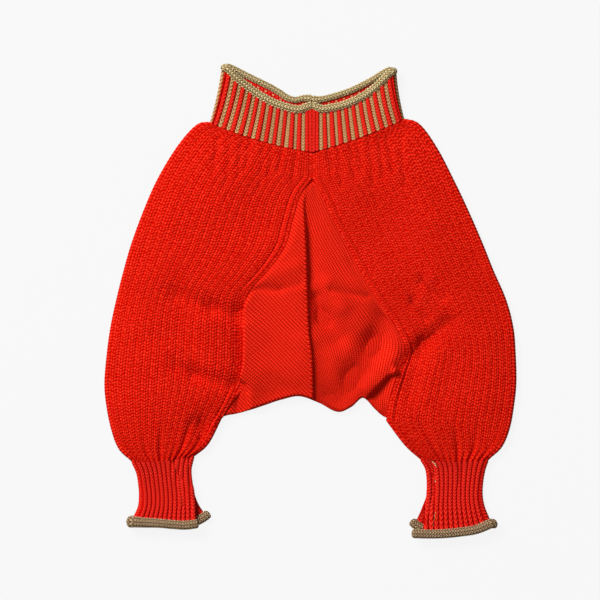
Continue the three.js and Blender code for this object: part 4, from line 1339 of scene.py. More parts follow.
@dataclass
class LegPanel:
    """One leg: a ribbed panel folded at the side, closed below the gusset by the inseam."""

    leg: Leg
    terrain: Terrain
    ribs: int = 16
    wales_per_rib: int = 3
    rib_height: float = 0.5
    chain_height: float = 0.95
    seam_depth: float = 0.9
    courses: int = 110
    points_per_wale: int = 4
    points_per_course: int = 3
    stitch_relief: float = 0.45
    pucker_depths: tuple[float, ...] = (0.5, 1.5, 0.8, 1.9, 1.1, 0.6, 1.8, 0.9, 1.6, 0.7, 1.2, 0.5)
    pucker_rows: tuple[float, ...] = (12.6, 11.6, 12.4, 11.2, 12.2, 12.7, 11.5, 12.5, 11.8, 12.6, 12.1, 12.8)
    pucker_depth: float = 1.8
    cuff_rows: tuple[float, float] = (13.1, 14)
    chain_rows: tuple[float, float] = (TIP_ROW - 0.5, TIP_ROW + 0.5)
    chain_under: tuple[float, float] = (6.5, 7.1)
    chain_again: tuple[float, float] = (10.2, 10.9)
    fold_wales: int = 3
    back_points_per_wale: int = 1
    flat_cut: tuple[float, float] = (0.34, 0.33)
    flat_area: float = 0.082

    @property
    def name(self) -> str:
        """Name of the CAD node that this piece stands for."""
        return f"leg_{self.leg.side.value}"

    def surface(self) -> Surface:
        """Grid of the leg with its ribs and stitches.

        Returns:
            The surface.
        """
        wales = self.ribs * self.wales_per_rib
        front_wales = np.linspace(0, wales, wales * self.points_per_wale + 1)
        columns = Columns.spread(
            front_wales / wales,
            front_wales,
            edge=EDGE_COLUMNS,
            fold=FOLD_COLUMNS,
            back=wales * self.back_points_per_wale,
            wales=(1, self.fold_wales, wales),
        )
        steps = self.courses * self.points_per_course
        rows = row_places(self.leg.middle, 0, LAST_ROW, steps)
        course = np.linspace(0, self.courses, steps + 1)
        panel = FoldedPanel(
            seam=self.leg.plan("seam", rows),
            outer=self.leg.plan("outer", rows),
            back=self.leg.plan("back", rows),
            sag=self.leg.sag(rows),
            radius=np.full(len(rows), LEG_FOLD),
            closed=(rows > CORNER_ROW - 0.1).astype(float),
            wall=LEG_WALL,
            level=self.terrain.leg_level,
        )
        middle = panel.points(columns)
        shown = columns.zone <= Zone.FOLD.value
        upper = columns.wale <= wales + self.fold_wales / 2
        outside = (shown & upper).astype(float)[None]
        relief = self.ribs_and_edge(columns.wale[None], rows[:, None])
        plain = smoothstep(columns.wale, 1.2, 2.2)[None]
        relief = relief + self.stitch_relief * LEG_STITCH.height(columns.wale[None], course[:, None]) * plain
        beyond = np.where(columns.of(Zone.FRONT_EDGE), 0, 1)
        place = np.where(columns.of(Zone.FRONT), columns.at, beyond) * CUFF_RIBS
        rib = CUFF_RIB_HEIGHT * cuff_rib(place)
        near_cuff = smoothstep(rows, *self.cuff_rows)[:, None]
        relief = mix(relief, rib[None], near_cuff) + self.puckers(place, rows)
        wale_grid = np.tile(columns.wale, (len(rows), 1))
        course_grid = np.tile(course[:, None], len(columns.at))
        return Surface(middle, wale_grid, course_grid, relief * outside, LEG_WALL)

    def ribs_and_edge(self, wale: Array, row: Array) -> Array:
        """Relief of the ribs, the chain beside the gusset and the sunk seam over it.

        Args:
            wale: Wale of each column.
            row: Row of each line.

        Returns:
            A grid of heights.
        """
        rib = self.rib_height * (1 - (1 - np.abs(np.sin(math.pi * wale / self.wales_per_rib))) ** 2)
        beside = smoothstep(row, *self.chain_rows)
        seam = -self.seam_depth * bump(wale + 0.6, 0.8) * (1 - beside)
        strands = bump(wale - 0.7, 0.7) - 0.6 * bump(wale - 2.0, 0.4) + 0.5 * bump(wale - 2.8, 0.5)
        if self.leg.side == Side.LEFT:
            hidden = smoothstep(row, *self.chain_under) * (1 - smoothstep(row, *self.chain_again))
            beside = beside * (1 - hidden)
        chain = self.chain_height * strands * beside
        return rib * smoothstep(wale, 2.5, 3.5) + chain + seam

    def puckers(self, place: Array, rows: Array) -> Array:
        """Relief of the long puckers that run down into the cuff's ribs.

        Args:
            place: Place of each column, counted in the cuff's ribs.
            rows: The panel's rows.

        Returns:
            A grid of heights, none above nought.
        """
        groove = np.abs(place - np.round(place))
        which = np.round(place).astype(int)
        depth = np.array(self.pucker_depths)[which]
        start = np.array(self.pucker_rows)[which]
        grown = smoothstep(rows[:, None], start[None], start[None] + 2)
        return -self.pucker_depth * grown * depth[None] * bump(groove, 0.3)[None]

    def build(self, fabricator: Fabricator, material: Material) -> Object:
        """Makes the piece.

        Args:
            fabricator: What makes the mesh.
            material: Its finish.

        Returns:
            The piece.
        """
        piece = fabricator.sheet(f"{self.name}_cloth", self.surface(), material)
        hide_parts(self.name)
        return piece


@dataclass
class Gusset:
    """The square gusset, folded at the bottom, with one deep pleat and a fold at each side."""

    legs: dict[Side, Leg]
    terrain: Terrain
    wale_pitch: float = 1.95
    course_pitch: float = 2.05
    front_rows: int = 256
    turn_rows: int = 14
    back_rows: int = 60
    left_columns: int = 104
    pleat_columns: int = 26
    right_columns: int = 150
    pleat_rows: tuple[float, float] = (TIP_ROW + 0.4, TIP_ROW + 3)
    pleat_range: tuple[float, float] = (0.25, 0.7)
    pleat_width: float = 3.4
    pleat_rise: float = 4.0
    pleat_fall: float = 3.4
    rise_reach: float = 30.0
    fall_reach: float = 12.0
    shallow_rows: tuple[float, float] = (6.4, 7.6)
    shallow_share: float = 0.75
    overhang: float = 2.2
    overhang_rows: tuple[float, float] = (4, 6)
    fold_overhang: float = 2.8
    fold_begins: tuple[float, float] = (6.9, 7.8)
    fold_ends: tuple[float, float] = (10.1, 11)
    left_slant: float = 46.0
    left_pitches: tuple[float, float] = (2.7, 1.85)
    left_share: float = 0.21
    right_share: float = 0.63
    seam_depth: float = 1.8
    seam_width: float = 3.5
    left_seam_ends: tuple[float, float] = (6, 7)
    right_seam_ends: tuple[float, float] = (8, 9)
    corner_rows: float = 2 / 3
    corner_lift: float = 2.2
    corner_inset: float = -0.6
    seam_reach: float = 7.0
    flat_cut: tuple[float, float] = (0.25, 0.25)
    flat_area: float = 0.05

    def arc(self, edge: str, side: Side, rows: Array) -> Array:
        """Length along one of the four seams, from its end at the waist to each row.

        Args:
            edge: "seam" or "back".
            side: Leg on which the seam lies.
            rows: Rows to measure to.

        Returns:
            One length for each row.
        """
        fine = np.linspace(TIP_ROW, CORNER_ROW, 401)
        line = self.legs[side].plan(edge, fine)
        length = lengths_along(line)
        return np.interp(rows, fine, length)

    def lines(self) -> tuple[Array, Array, Array]:
        """Row, turn round the bottom fold and seam row of each line of the grid.

        Returns:
            Rows, angles from 0 on the front to half a turn on the back, and rows at which the lines start.
        """
        far = CORNER_ROW - self.corner_rows
        near = CORNER_ROW - self.corner_rows / 2
        front = row_places(self.legs[Side.RIGHT].middle, GUSSET_START, CORNER_ROW, self.front_rows)
        front_seam = np.where(front > near, near + (front - near) / 2, front)
        drop = np.linspace(0, math.pi, self.turn_rows + 2)[1:-1]
        turn_seam = CORNER_ROW - self.corner_rows * (0.25 - 0.25 * np.sin(drop))
        back = np.linspace(CORNER_ROW, GUSSET_START, self.back_rows + 1)
        back_seam = np.where(back > far, far + (back - far) * 0.75, back)
        rows = np.concatenate([front, np.full(len(drop), float(CORNER_ROW)), back])
        turns = np.concatenate([np.zeros(len(front)), drop, np.full(len(back), math.pi)])
        return rows, turns, np.concatenate([front_seam, turn_seam, back_seam])

    def rise(
        self,
        x: Array,
        y: Array,
        row: Array,
        aside: Array,
        pleat_at: Array,
        from_left: Array,
        from_right: Array,
    ) -> Array:
        """Height of the gusset over the front layer's level.

        Args:
            x: Places in plan.
            y: Places in plan.
            row: Row of each point.
            aside: Distance from the pleat's edge, towards the right.
            pleat_at: Place across the pleat from 0 to 1.
            from_left: Distance from the left seam.
            from_right: Distance from the right seam.

        Returns:
            The added height.
        """
        depth = smoothstep(row, *self.pleat_rows)
        beyond = np.maximum(np.abs(aside) - self.pleat_width / 2, 0)
        high = self.pleat_rise * bump(beyond, self.rise_reach)
        fall = self.pleat_fall * (1 - self.shallow_share * smoothstep(row, *self.shallow_rows))
        low = -fall * bump(beyond, self.fall_reach)
        over = mix(self.pleat_rise, -fall, smoothstep(pleat_at, 0.05, 0.85))
        inside = (pleat_at > 0) & (pleat_at < 1)
        total = depth * np.where(inside, over, np.where(aside < 0, high, low))
        total += crease_rise(x, y, GUSSET_CREASES) * depth
        total += ledge_rise(x, y, LEFT_FOLD) + ledge_rise(x, y, RIGHT_FOLD)
        left_seam = bump(from_left, self.seam_width) * (1 - smoothstep(row, *self.left_seam_ends))
        right_seam = bump(from_right, self.seam_width) * (1 - smoothstep(row, *self.right_seam_ends))
        return total - self.seam_depth * (left_seam + right_seam)

    def surface(self) -> Surface:
        """Grid of the gusset with its pleat and folds.

        Returns:
            The surface.
        """
        rows, turns, seam_rows = self.lines()
        back = turns > math.pi - ANGLE_SLACK
        behind = (turns > math.pi / 2)[:, None]
        seams = {}
        for side, leg in self.legs.items():
            seams[side] = np.where(behind, leg.plan("back", rows), leg.plan("seam", rows))
        left, right = seams[Side.LEFT], seams[Side.RIGHT]
        span = right[:, :1] - left[:, :1]
        depth = ((rows - GUSSET_START) / (CORNER_ROW - GUSSET_START))[:, None]
        bend = GUSSET_FOLD + GUSSET_WALL / 2

        def plan_y(x: Array) -> Array:
            """Plan y of the gusset's lines at places across them.

            Args:
                x: Places in plan.

            Returns:
                One y for each place.
            """
            u = np.clip((x - left[:, :1]) / span, 0, 1)
            edge_x = mix(CROTCH_EDGE[0].x, CROTCH_EDGE[-1].x, u)
            edge_y = along(CROTCH_EDGE, "x", edge_x, "y") + bend
            line_y = mix(LEFT_ROWS[CORNER_ROW].seam_y, RIGHT_ROWS[CORNER_ROW].seam_y, u)
            return mix(left[:, 1:], right[:, 1:], u) + (edge_y - line_y) * depth**2

        pleat_x = along(PLEAT_LINE, "y", plan_y(np.zeros((len(rows), 1))), "x")
        pleat_x = np.clip(pleat_x, *[left[:, :1] + limit * span for limit in self.pleat_range])
        width = np.minimum(self.pleat_width, 0.25 * span)
        ease = np.linspace(0, 1, self.left_columns, endpoint=False)[None]
        pleat_at = np.linspace(0, 1, self.pleat_columns)[None]
        far = np.linspace(0, 1, self.right_columns + 1)[None, 1:]
        x = np.hstack([
            mix(left[:, :1], pleat_x - width / 2, ease),
            pleat_x + (pleat_at - 0.5) * width,
            mix(pleat_x + width / 2, right[:, :1], far),
        ])
        at = np.hstack([np.zeros_like(ease), pleat_at, np.ones_like(far)])
        y = plan_y(x)
        row_grid = np.broadcast_to(rows[:, None], x.shape)
        at = np.broadcast_to(at, x.shape)
        rise = self.rise(x, y, row_grid, x - pleat_x, at, x - left[:, :1], right[:, :1] - x)
        top = np.maximum(self.terrain.level(x, y) + rise, LOWEST_LEVEL)
        centre = GUSSET_WALL / 2 + GUSSET_FOLD
        drop = turns[:, None]
        height = np.where(drop < math.pi / 2, top - centre, GUSSET_FOLD)
        z = np.where(drop == 0, top, centre + height * np.cos(drop))
        y = y - GUSSET_FOLD * np.sin(drop)
        lean = smoothstep(row_grid, *self.overhang_rows) * np.sin(math.pi * at)
        undercut = lean * self.overhang * (drop == 0)
        points = np.dstack([x + undercut * (1 - 1.6 * at), y, z])
        points = self.seated(points, rows, turns, seam_rows, span)
        gap = x - left[:, :1]
        shift = smoothstep(gap, 0, 2.6) * (1 - smoothstep(gap, 4, 24))
        points[..., 0] -= self.fold_overhang * self.folded(rows, turns)[:, None] * shift
        wale, course = self.stitches(rows, back, turns, x, left, span, ease, pleat_at, far)
        wale, course = self.slanted(wale, course, x, y, (drop < math.pi / 2) & (at < 0.9))
        return Surface(points, wale, course, np.zeros(x.shape), GUSSET_WALL)

    def folded(self, rows: Array, turns: Array) -> Array:
        """How far each line's left part folds over the leg, from 0 to 1."""
        begun = smoothstep(rows, *self.fold_begins)
        return begun * (1 - smoothstep(rows, *self.fold_ends)) * (turns == 0)

    def seated(self, points: Array, rows: Array, turns: Array, seam_rows: Array, span: Array) -> Array:
        """Brings the ends of the lines to the legs' seams.

        Args:
            points: The grid.
            rows: Row of each line.
            turns: Turn of each line round the bottom fold.
            seam_rows: Row at which each line starts on the seams.
            span: Width of each line.

        Returns:
            The grid with its ends moved.
        """
        moved = points.copy()
        share = np.clip((seam_rows - (CORNER_ROW - self.corner_rows)) / self.corner_rows, 0, 1)
        for side, end in ((Side.LEFT, 0), (Side.RIGHT, -1)):
            leg = self.legs[side]
            front = turns <= math.pi / 2 + ANGLE_SLACK
            plan = np.where(front[:, None], leg.plan("seam", seam_rows), leg.plan("back", seam_rows))
            inset = SEAM_GAP / 2 + self.corner_inset * share
            flat_z = np.where(front, self.terrain.leg_level(plan[:, 0], plan[:, 1]), GUSSET_WALL / 2)
            goal = np.stack([
                plan[:, 0] - side.sign * inset,
                plan[:, 1] + self.corner_lift * share,
                mix(flat_z, GUSSET_WALL / 2 + GUSSET_FOLD, share),
            ], -1)
            gap = np.abs(points[..., 0] - points[:, end, None, 0])
            reach = np.minimum(self.seam_reach, 0.3 * span)
            if side == Side.LEFT:
                reach = reach * (1 - 0.55 * self.folded(rows, turns)[:, None])
            near = 1 - smoothstep(gap / reach, 0, 1)
            moved += (goal - points[:, end])[:, None] * near[..., None]
        return moved

    def stitches(
        self, rows: Array, back: Array, turns: Array, x: Array, left: Array, span: Array, *places: Array
    ) -> tuple[Array, Array]:
        """Wale and course at each point: the wales run along the front seam of the right leg.

        Args:
            rows: Row of each line.
            back: Which lines lie on the back.
            turns: Turn of each line round the bottom fold.
            x: Plan x of the grid.
            left: Left ends of the lines.
            span: Width of each line.
            places: Places across the left part, the pleat and the right part.

        Returns:
            The two grids.
        """
        even = np.clip((x - left[:, :1]) / span, 0, 1)
        ease, pleat_at, far = places
        pleated = np.hstack([
            ease * self.left_share,
            mix(self.left_share, self.right_share, pleat_at),
            mix(self.right_share, 1, far),
        ])
        folded = smoothstep(rows, *self.pleat_rows)[:, None] * (1 - turns[:, None] / math.pi)
        share = mix(even, pleated, folded)
        whole = {side: self.arc("seam", side, float(CORNER_ROW)) for side in self.legs}
        p_front = self.arc("seam", Side.LEFT, rows)[:, None] * (1 - share)
        q_front = self.arc("seam", Side.RIGHT, rows)[:, None] * share
        rest = (self.arc("back", Side.RIGHT, rows) / self.arc("back", Side.RIGHT, float(CORNER_ROW)))[:, None]
        p_back = whole[Side.LEFT] * (1 - rest * share)
        q_back = whole[Side.RIGHT] * (1 - rest * (1 - share))
        p = np.where(back[:, None], p_back, p_front)
        q = np.where(back[:, None], q_back, q_front)
        return p / self.wale_pitch, q / self.course_pitch

    def slanted(self, wale: Array, course: Array, x: Array, y: Array, left: Array) -> tuple[Array, Array]:
        """Turns the stitches of the part left of the pleat, which is drawn aside by the pleat's fullness.

        Args:
            wale: Wale at each point.
            course: Course at each point.
            x: Places in plan.
            y: Places in plan.
            left: Which points lie left of the pleat and face up.

        Returns:
            The two grids.
        """
        slant = math.radians(self.left_slant)
        across = (x * math.sin(slant) + y * math.cos(slant)) / self.left_pitches[0]
        down = (x * math.cos(slant) - y * math.sin(slant)) / self.left_pitches[1]
        return np.where(left, across, wale), np.where(left, down, course)

    def build(self, fabricator: Fabricator, material: Material) -> Object:
        """Makes the piece.

        Args:
            fabricator: What makes the mesh.
            material: Its finish.

        Returns:
            The piece.
        """
        piece = fabricator.sheet("gusset_cloth", self.surface(), material)
        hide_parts("gusset")
        return piece


# Middle lines of the rolls along the waist, from the middle seam to the side
WAIST_FRONT = {
    Side.LEFT: [
        Spot(2.5, 180.9), Spot(-1, 180.5), Spot(-6, 178.4), Spot(-12, 177.4), Spot(-21.4, 179.5),
        Spot(-34.4, 184), Spot(-46.5, 190.6), Spot(-58, 198.4), Spot(-68.4, 206.8),
        Spot(-77, 215.2), Spot(-83, 220.6),
    ],
    Side.RIGHT: [
        Spot(1.5, 180.9), Spot(4.5, 180.4), Spot(8.5, 178.4), Spot(13, 177.7), Spot(19, 178.9),
        Spot(30.7, 181.4), Spot(40.9, 185.5), Spot(51.7, 191.1), Spot(62.1, 199), Spot(69.8, 206.6),
        Spot(76, 212.5), Spot(82, 217.5),
    ],
}
WAIST_BACK = {
    Side.LEFT: [
        Spot(2.5, 187.4), Spot(-6, 188), Spot(-14, 186.4), Spot(-21.4, 188.6), Spot(-28, 193.2),
        Spot(-37.2, 198.5), Spot(-47.4, 203.6), Spot(-59.5, 209.4), Spot(-69.8, 214.8), Spot(-83, 220.4),
    ],
    Side.RIGHT: [
        Spot(1.5, 187), Spot(7.4, 186.6), Spot(17.7, 188.6), Spot(27.9, 191.6), Spot(38.6, 195.4),
        Spot(49.1, 200.4), Spot(59.5, 206), Spot(68.8, 211.8), Spot(75.3, 215), Spot(82, 217.3),
    ],
}
STRIPES = {Side.LEFT: 11, Side.RIGHT: 10}
WAIST_EDGE_X = {Side.LEFT: -82, Side.RIGHT: 80}


@dataclass
class WaistLine:
    """Top edge of one half of the waistband."""

    side: Side

    def share(self, x: Array) -> Array:
        """How far a place lies from the middle seam to the side, from 0 to 1."""
        return np.clip((np.asarray(x, float) - WAIST_MIDDLE) / (WAIST_EDGE_X[self.side] - WAIST_MIDDLE), 0, 1)

    def top(self, front: bool, x: Array) -> Array:
        """Plan y of the roll's middle on the front or on the back."""
        return along((WAIST_FRONT if front else WAIST_BACK)[self.side], "x", x, "y")

    def front_base(self, x: Array) -> Array:
        """Height of what the front layer lies on."""
        return mix(BAND_WALL + SEAM_GAP, 2 * END_FOLD, smoothstep(self.share(x), 0.6, 0.95))

    def wall_top(self, front: bool, x: Array) -> Array:
        """Plan y at which the wall ends under the roll."""
        slope = self.top(front, x + 0.5) - self.top(front, x - 0.5)
        return self.top(front, x) - (WAIST_ROLL[0] / 2 - ROLL_OVERLAP) * np.hypot(1, slope)


@dataclass
class WaistbandHalf:
    """One half of the striped waistband, from the middle seams to the side."""

    leg: Leg
    line: WaistLine
    terrain: Terrain
    seam_wale: float = 3.7
    stripe_pitch: float = 7.8
    sunk_share: float = 0.48
    courses: int = 13
    points_per_wale: int = 5
    points_per_course: int = 7
    rib_height: float = 1.2
    stitch_relief: float = 0.6
    side_bend: float = 1.0
    tan_from: float = 0.16
    tan_share: float = 0.46
    flat_cut: tuple[float, float] = (0.19, 0.05)

    @property
    def name(self) -> str:
        """Name of the CAD node that this piece stands for."""
        return f"waistband_{self.leg.side.value}"

    def surface(self) -> Surface:
        """Grid of the half with its ribs, from its top edge down.

        Returns:
            The surface.
        """
        stripes = STRIPES[self.leg.side]
        last = 2 * stripes
        length = self.seam_wale + stripes * self.stripe_pitch
        wales = np.linspace(-1, last, (last + 1) * self.points_per_wale + 1)
        stripe, part = np.divmod(wales, 2)
        raised = self.sunk_share + (part - 1) * (1 - self.sunk_share)
        inside = np.where(part < 1, part * self.sunk_share, raised)
        past_seam = self.seam_wale + self.stripe_pitch * (stripe + inside)
        distance = np.where(wales < 0, self.seam_wale * (wales + 1), past_seam)
        columns = Columns.spread(
            distance / length,
            wales,
            edge=EDGE_COLUMNS,
            fold=FOLD_COLUMNS,
            back=last * self.points_per_wale,
            wales=(1, 2, last),
        )
        fold = columns.of(Zone.FOLD)
        columns.wale[fold] = last + (columns.at[fold] - self.tan_from) / self.tan_share
        low = self.low_line(columns)
        high = self.high_line(columns)
        steps = self.courses * self.points_per_course
        share = np.linspace(1, 0, steps + 1)[:, None, None]
        middle = mix(low[None], high[None], share)
        course = np.linspace(0, self.courses, steps + 1)[:, None]
        rib = self.rib_profile(columns.wale)
        outside = (columns.zone <= Zone.FOLD.value).astype(float)
        bend = self.side_bend * 4 * (share * (1 - share))[..., 0] * (self.line.share(low[:, 0]) ** 3)[None]
        middle[..., 0] -= self.leg.side.sign * bend
        stitches = BAND_STITCH.height(columns.wale[None], course)
        relief = (self.rib_height * rib * outside)[None] + self.stitch_relief * stitches * outside[None]
        wale_grid = np.tile(columns.wale, (steps + 1, 1))
        return Surface(middle, wale_grid, np.tile(course, len(columns.at)), relief, BAND_WALL)

    def rib_profile(self, wale: Array) -> Array:
        """Height of the raised wales, 0 on the sunk ones.

        Args:
            wale: Wale of each point.

        Returns:
            One height for each.
        """
        phase = np.mod(wale, 2)
        raised = np.where(wale < 0, 1, smoothstep(phase, 0.92, 1.18) * (1 - smoothstep(phase, 1.82, 2.08)))
        return np.where((wale >= 0) & (phase < 0.1), 1 - smoothstep(phase, -0.18, 0.08), raised)

    def low_line(self, columns: Columns) -> Array:
        """Middle points of the bottom row, along the leg's top.

        Args:
            columns: The half's columns.

        Returns:
            The points.
        """
        row = np.zeros(1)
        panel = FoldedPanel(
            seam=self.leg.plan("seam", row),
            outer=self.leg.plan("outer", row),
            back=self.leg.plan("back", row),
            sag=self.leg.sag(row),
            radius=np.full(1, LEG_FOLD),
            closed=np.zeros(1),
            wall=BAND_WALL,
            level=self.terrain.level,
        )
        return panel.points(columns)[0]

    def high_line(self, columns: Columns) -> Array:
        """Middle points of the top row, under the roll.

        Args:
            columns: The half's columns.

        Returns:
            The points.
        """
        direction = self.leg.side.sign
        edge_steps = math.pi / 2 * LEG_FOLD
        start = WAIST_MIDDLE + direction * SEAM_GAP / 2
        turn = WAIST_EDGE_X[self.leg.side] - direction * (END_FOLD + BAND_WALL / 2)
        x = np.full(len(columns.at), turn)
        edge = columns.of(Zone.FRONT_EDGE) | columns.of(Zone.BACK_EDGE)
        x[edge] = start + direction * edge_steps * columns.at[edge]
        front, back, fold = (columns.of(zone) for zone in (Zone.FRONT, Zone.BACK, Zone.FOLD))
        x[front] = mix(start + direction * edge_steps, turn, columns.at[front])
        x[back] = mix(turn, start + direction * edge_steps, columns.at[back])
        is_front = columns.zone <= Zone.FRONT.value
        y = np.where(is_front, self.line.wall_top(True, x), self.line.wall_top(False, x))
        z = BAND_WALL / 2 + np.where(is_front, self.line.front_base(x), 0)
        angle = math.pi * columns.at[fold]
        y[fold] = mix(self.line.wall_top(True, turn), self.line.wall_top(False, turn), columns.at[fold])
        x[fold] += direction * END_FOLD * np.sin(angle)
        z[fold] = BAND_WALL / 2 + END_FOLD + END_FOLD * np.cos(angle)
        return np.stack([x, y, z], -1)

    def build(
        self,
        fabricator: Fabricator,
        outside: Material,
        inside: Material,
        roll: Object,
    ) -> Object:
        """Makes the piece.

        Args:
            fabricator: What makes the mesh.
            outside: Finish of its outside.
            inside: Finish of its inside.
            roll: The roll at its top; not used.

        Returns:
            The piece.
        """
        piece = fabricator.shell(f"{self.name}_cloth", self.surface(), outside, inside)
        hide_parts(self.name)
        return piece


@dataclass
class Roll:
    """An edge of the cloth that has curled up into a roll: a tube of stitches along a path."""

    name: str
    replaced: str
    width: float
    height: float
    front: Array
    back: Array
    direction: int
    wales: int = 6
    points_per_wale: int = 6
    course_pitch: float = 2.95
    points_per_course: int = 5
    stitch_relief: float = 0.6
    cap: float = 2.6
    tip: float = 0.03
    front_share: float = 1.0
    back_share: float = 1.0
    side_share: float = 1.0
    side_reach: float = 20.0
    knob: float = 0.0
    knob_reach: float = 7.0

    def path(self) -> tuple[Array, Array]:
        """Middle points at even distances, and the width's direction at each.

        Returns:
            The points and the directions.
        """
        turn = np.linspace(0, 1, 14)[1:-1, None]
        start, end = self.front[-1], self.back[0]
        swing = mix(start, end, turn)
        swing[:, 2] = (start[2] + end[2]) / 2 + ROLL_TURN * np.cos(math.pi * turn[:, 0])
        swing[:, 0] += self.direction * ROLL_TURN * np.sin(math.pi * turn[:, 0])
        rough = np.concatenate([self.front, swing, self.back])
        sides = np.concatenate([
            self.sideways(self.front),
            unit(mix(self.sideways(self.front)[-1], self.sideways(self.back)[0], turn)),
            self.sideways(self.back),
        ])
        length = lengths_along(rough)
        count = int(round(length[-1] / self.course_pitch)) * self.points_per_course
        even = np.linspace(0, length[-1], count + 1)
        points = np.stack([np.interp(even, length, rough[:, k]) for k in range(3)], -1)
        across = unit(np.stack([np.interp(even, length, sides[:, k]) for k in range(3)], -1))
        return points, across

    def sideways(self, line: Array) -> Array:
        """Level directions square to a line, towards the waist.

        Args:
            line: Points of the line.

        Returns:
            The directions.
        """
        ahead = np.gradient(line, axis=0)
        side = unit(np.stack([-ahead[:, 1], ahead[:, 0], np.zeros(len(line))], -1))
        return side * np.where(side[:, 1:2] < 0, -1, 1)

    def build(self, fabricator: Fabricator, material: Material) -> Object:
        """Makes the roll.

        Args:
            fabricator: What makes the mesh.
            material: Its finish.

        Returns:
            The piece.
        """
        points, across = self.path()
        ahead = unit(np.gradient(points, axis=0))
        upward = unit(np.cross(ahead, across))
        rings, sides = len(points), self.wales * self.points_per_wale
        angle = 2 * math.pi * np.arange(sides) / sides
        distance = np.linspace(0, 1, rings) * np.linalg.norm(np.diff(points, axis=0), axis=1).sum()
        to_end = np.minimum(distance, distance[-1] - distance)
        closing = np.sqrt(np.clip(1 - (np.maximum(self.cap - to_end, 0) / self.cap) ** 2, self.tip**2, 1))
        swell = closing * (1 + self.knob * bump(distance[-1] - distance, self.knob_reach))
        behind = smoothstep(distance / distance[-1], 0.44, 0.56)
        swell = swell * mix(self.front_share, self.back_share, behind)
        swell = swell * mix(1, self.side_share, bump(distance - distance[-1] / 2, self.side_reach))
        course = distance / self.course_pitch
        wale = np.arange(sides + 1) / self.points_per_wale
        stitches = ROLL_STITCH.height(wale[None], course[:, None]) - 0.6
        relief = self.stitch_relief * stitches[:, :sides]
        wide = (self.width / 2 + relief) * swell[:, None]
        tall = (self.height / 2 + relief) * swell[:, None]
        ring = points[:, None] + across[:, None] * (wide * np.cos(angle))[..., None]
        ring = ring + upward[:, None] * (tall * np.sin(angle))[..., None]
        ring[..., 2] = np.maximum(ring[..., 2], 0)
        ring = np.concatenate([ring, ring[:, :1]], 1)
        index = np.arange(rings * (sides + 1)).reshape(rings, sides + 1)
        cross = np.cross(ring[1, 0] - ring[0, 0], ring[0, 1] - ring[0, 0])
        flip = bool(np.dot(cross, ring[0, 0] - points[0]) < 0)
        faces = fabricator.grid_faces(rings, sides + 1, 0, flip)
        uv = np.stack([np.tile(wale, (rings, 1)), np.tile(course[:, None], sides + 1)], -1).reshape(-1, 2)
        caps = [index[0, :-1].tolist(), index[-1, -2::-1].tolist()]
        piece = fabricator.mesh(self.name, ring.reshape(-1, 3), faces, uv, [material], caps=caps)
        fabricator.weld(piece)
        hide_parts(self.replaced)
        return piece


def waist_roll(line: WaistLine) -> Roll:
    """The roll along the top of one half of the waistband.

    Args:
        line: Top edge of the half.

    Returns:
        The roll.
    """
    width, height = WAIST_ROLL
    direction = line.side.sign
    turn = WAIST_EDGE_X[line.side] - direction * (ROLL_TURN + height / 2 - 1.2)
    x = np.linspace(WAIST_MIDDLE + direction * SEAM_GAP / 2, turn, ROLL_POINTS)
    base = np.minimum(line.front_base(x) + SEAM_GAP, 2 * ROLL_TURN)
    front = np.stack([x, line.top(True, x), height / 2 + base], -1)
    front[-1, 2] = height / 2 + 2 * ROLL_TURN
    back = np.stack([x, line.top(False, x), np.full(len(x), height / 2)], -1)[::-1]
    name = f"waist_roll_{line.side.value}"
    return Roll(
        f"{name}_edge", name, width, height, front, back, direction,
        cap=1.2, tip=0.8, front_share=1.17, back_share=0.9, knob=0.3,
    )


def cuff_roll(side: Side) -> Roll:
    """The roll along the bottom of one cuff.

    Args:
        side: Side of the cuff.

    Returns:
        The roll.
    """
    width, height = CUFF_ROLL
    entries = np.linspace(0, len(CUFF_ROLL_FRONT[side]) - 1, ROLL_POINTS)

    def trace(line: Sequence[Spot], z: float) -> Array:
        """Middle points of one layer."""
        x, y = (smooth_value(column(line, axis), entries) for axis in "xy")
        return np.stack([x, y, np.full(len(x), z)], -1)

    front = trace(CUFF_ROLL_FRONT[side], height / 2 + 2 * ROLL_TURN)
    back = trace(CUFF_ROLL_BACK[side], height / 2)[::-1]
    name = f"cuff_roll_{side.value}"
    return Roll(
        f"{name}_edge", name, width, height, front, back, side.sign,
        wales=8, course_pitch=2.6, side_share=1.3 if side == Side.LEFT else 1.05,
    )


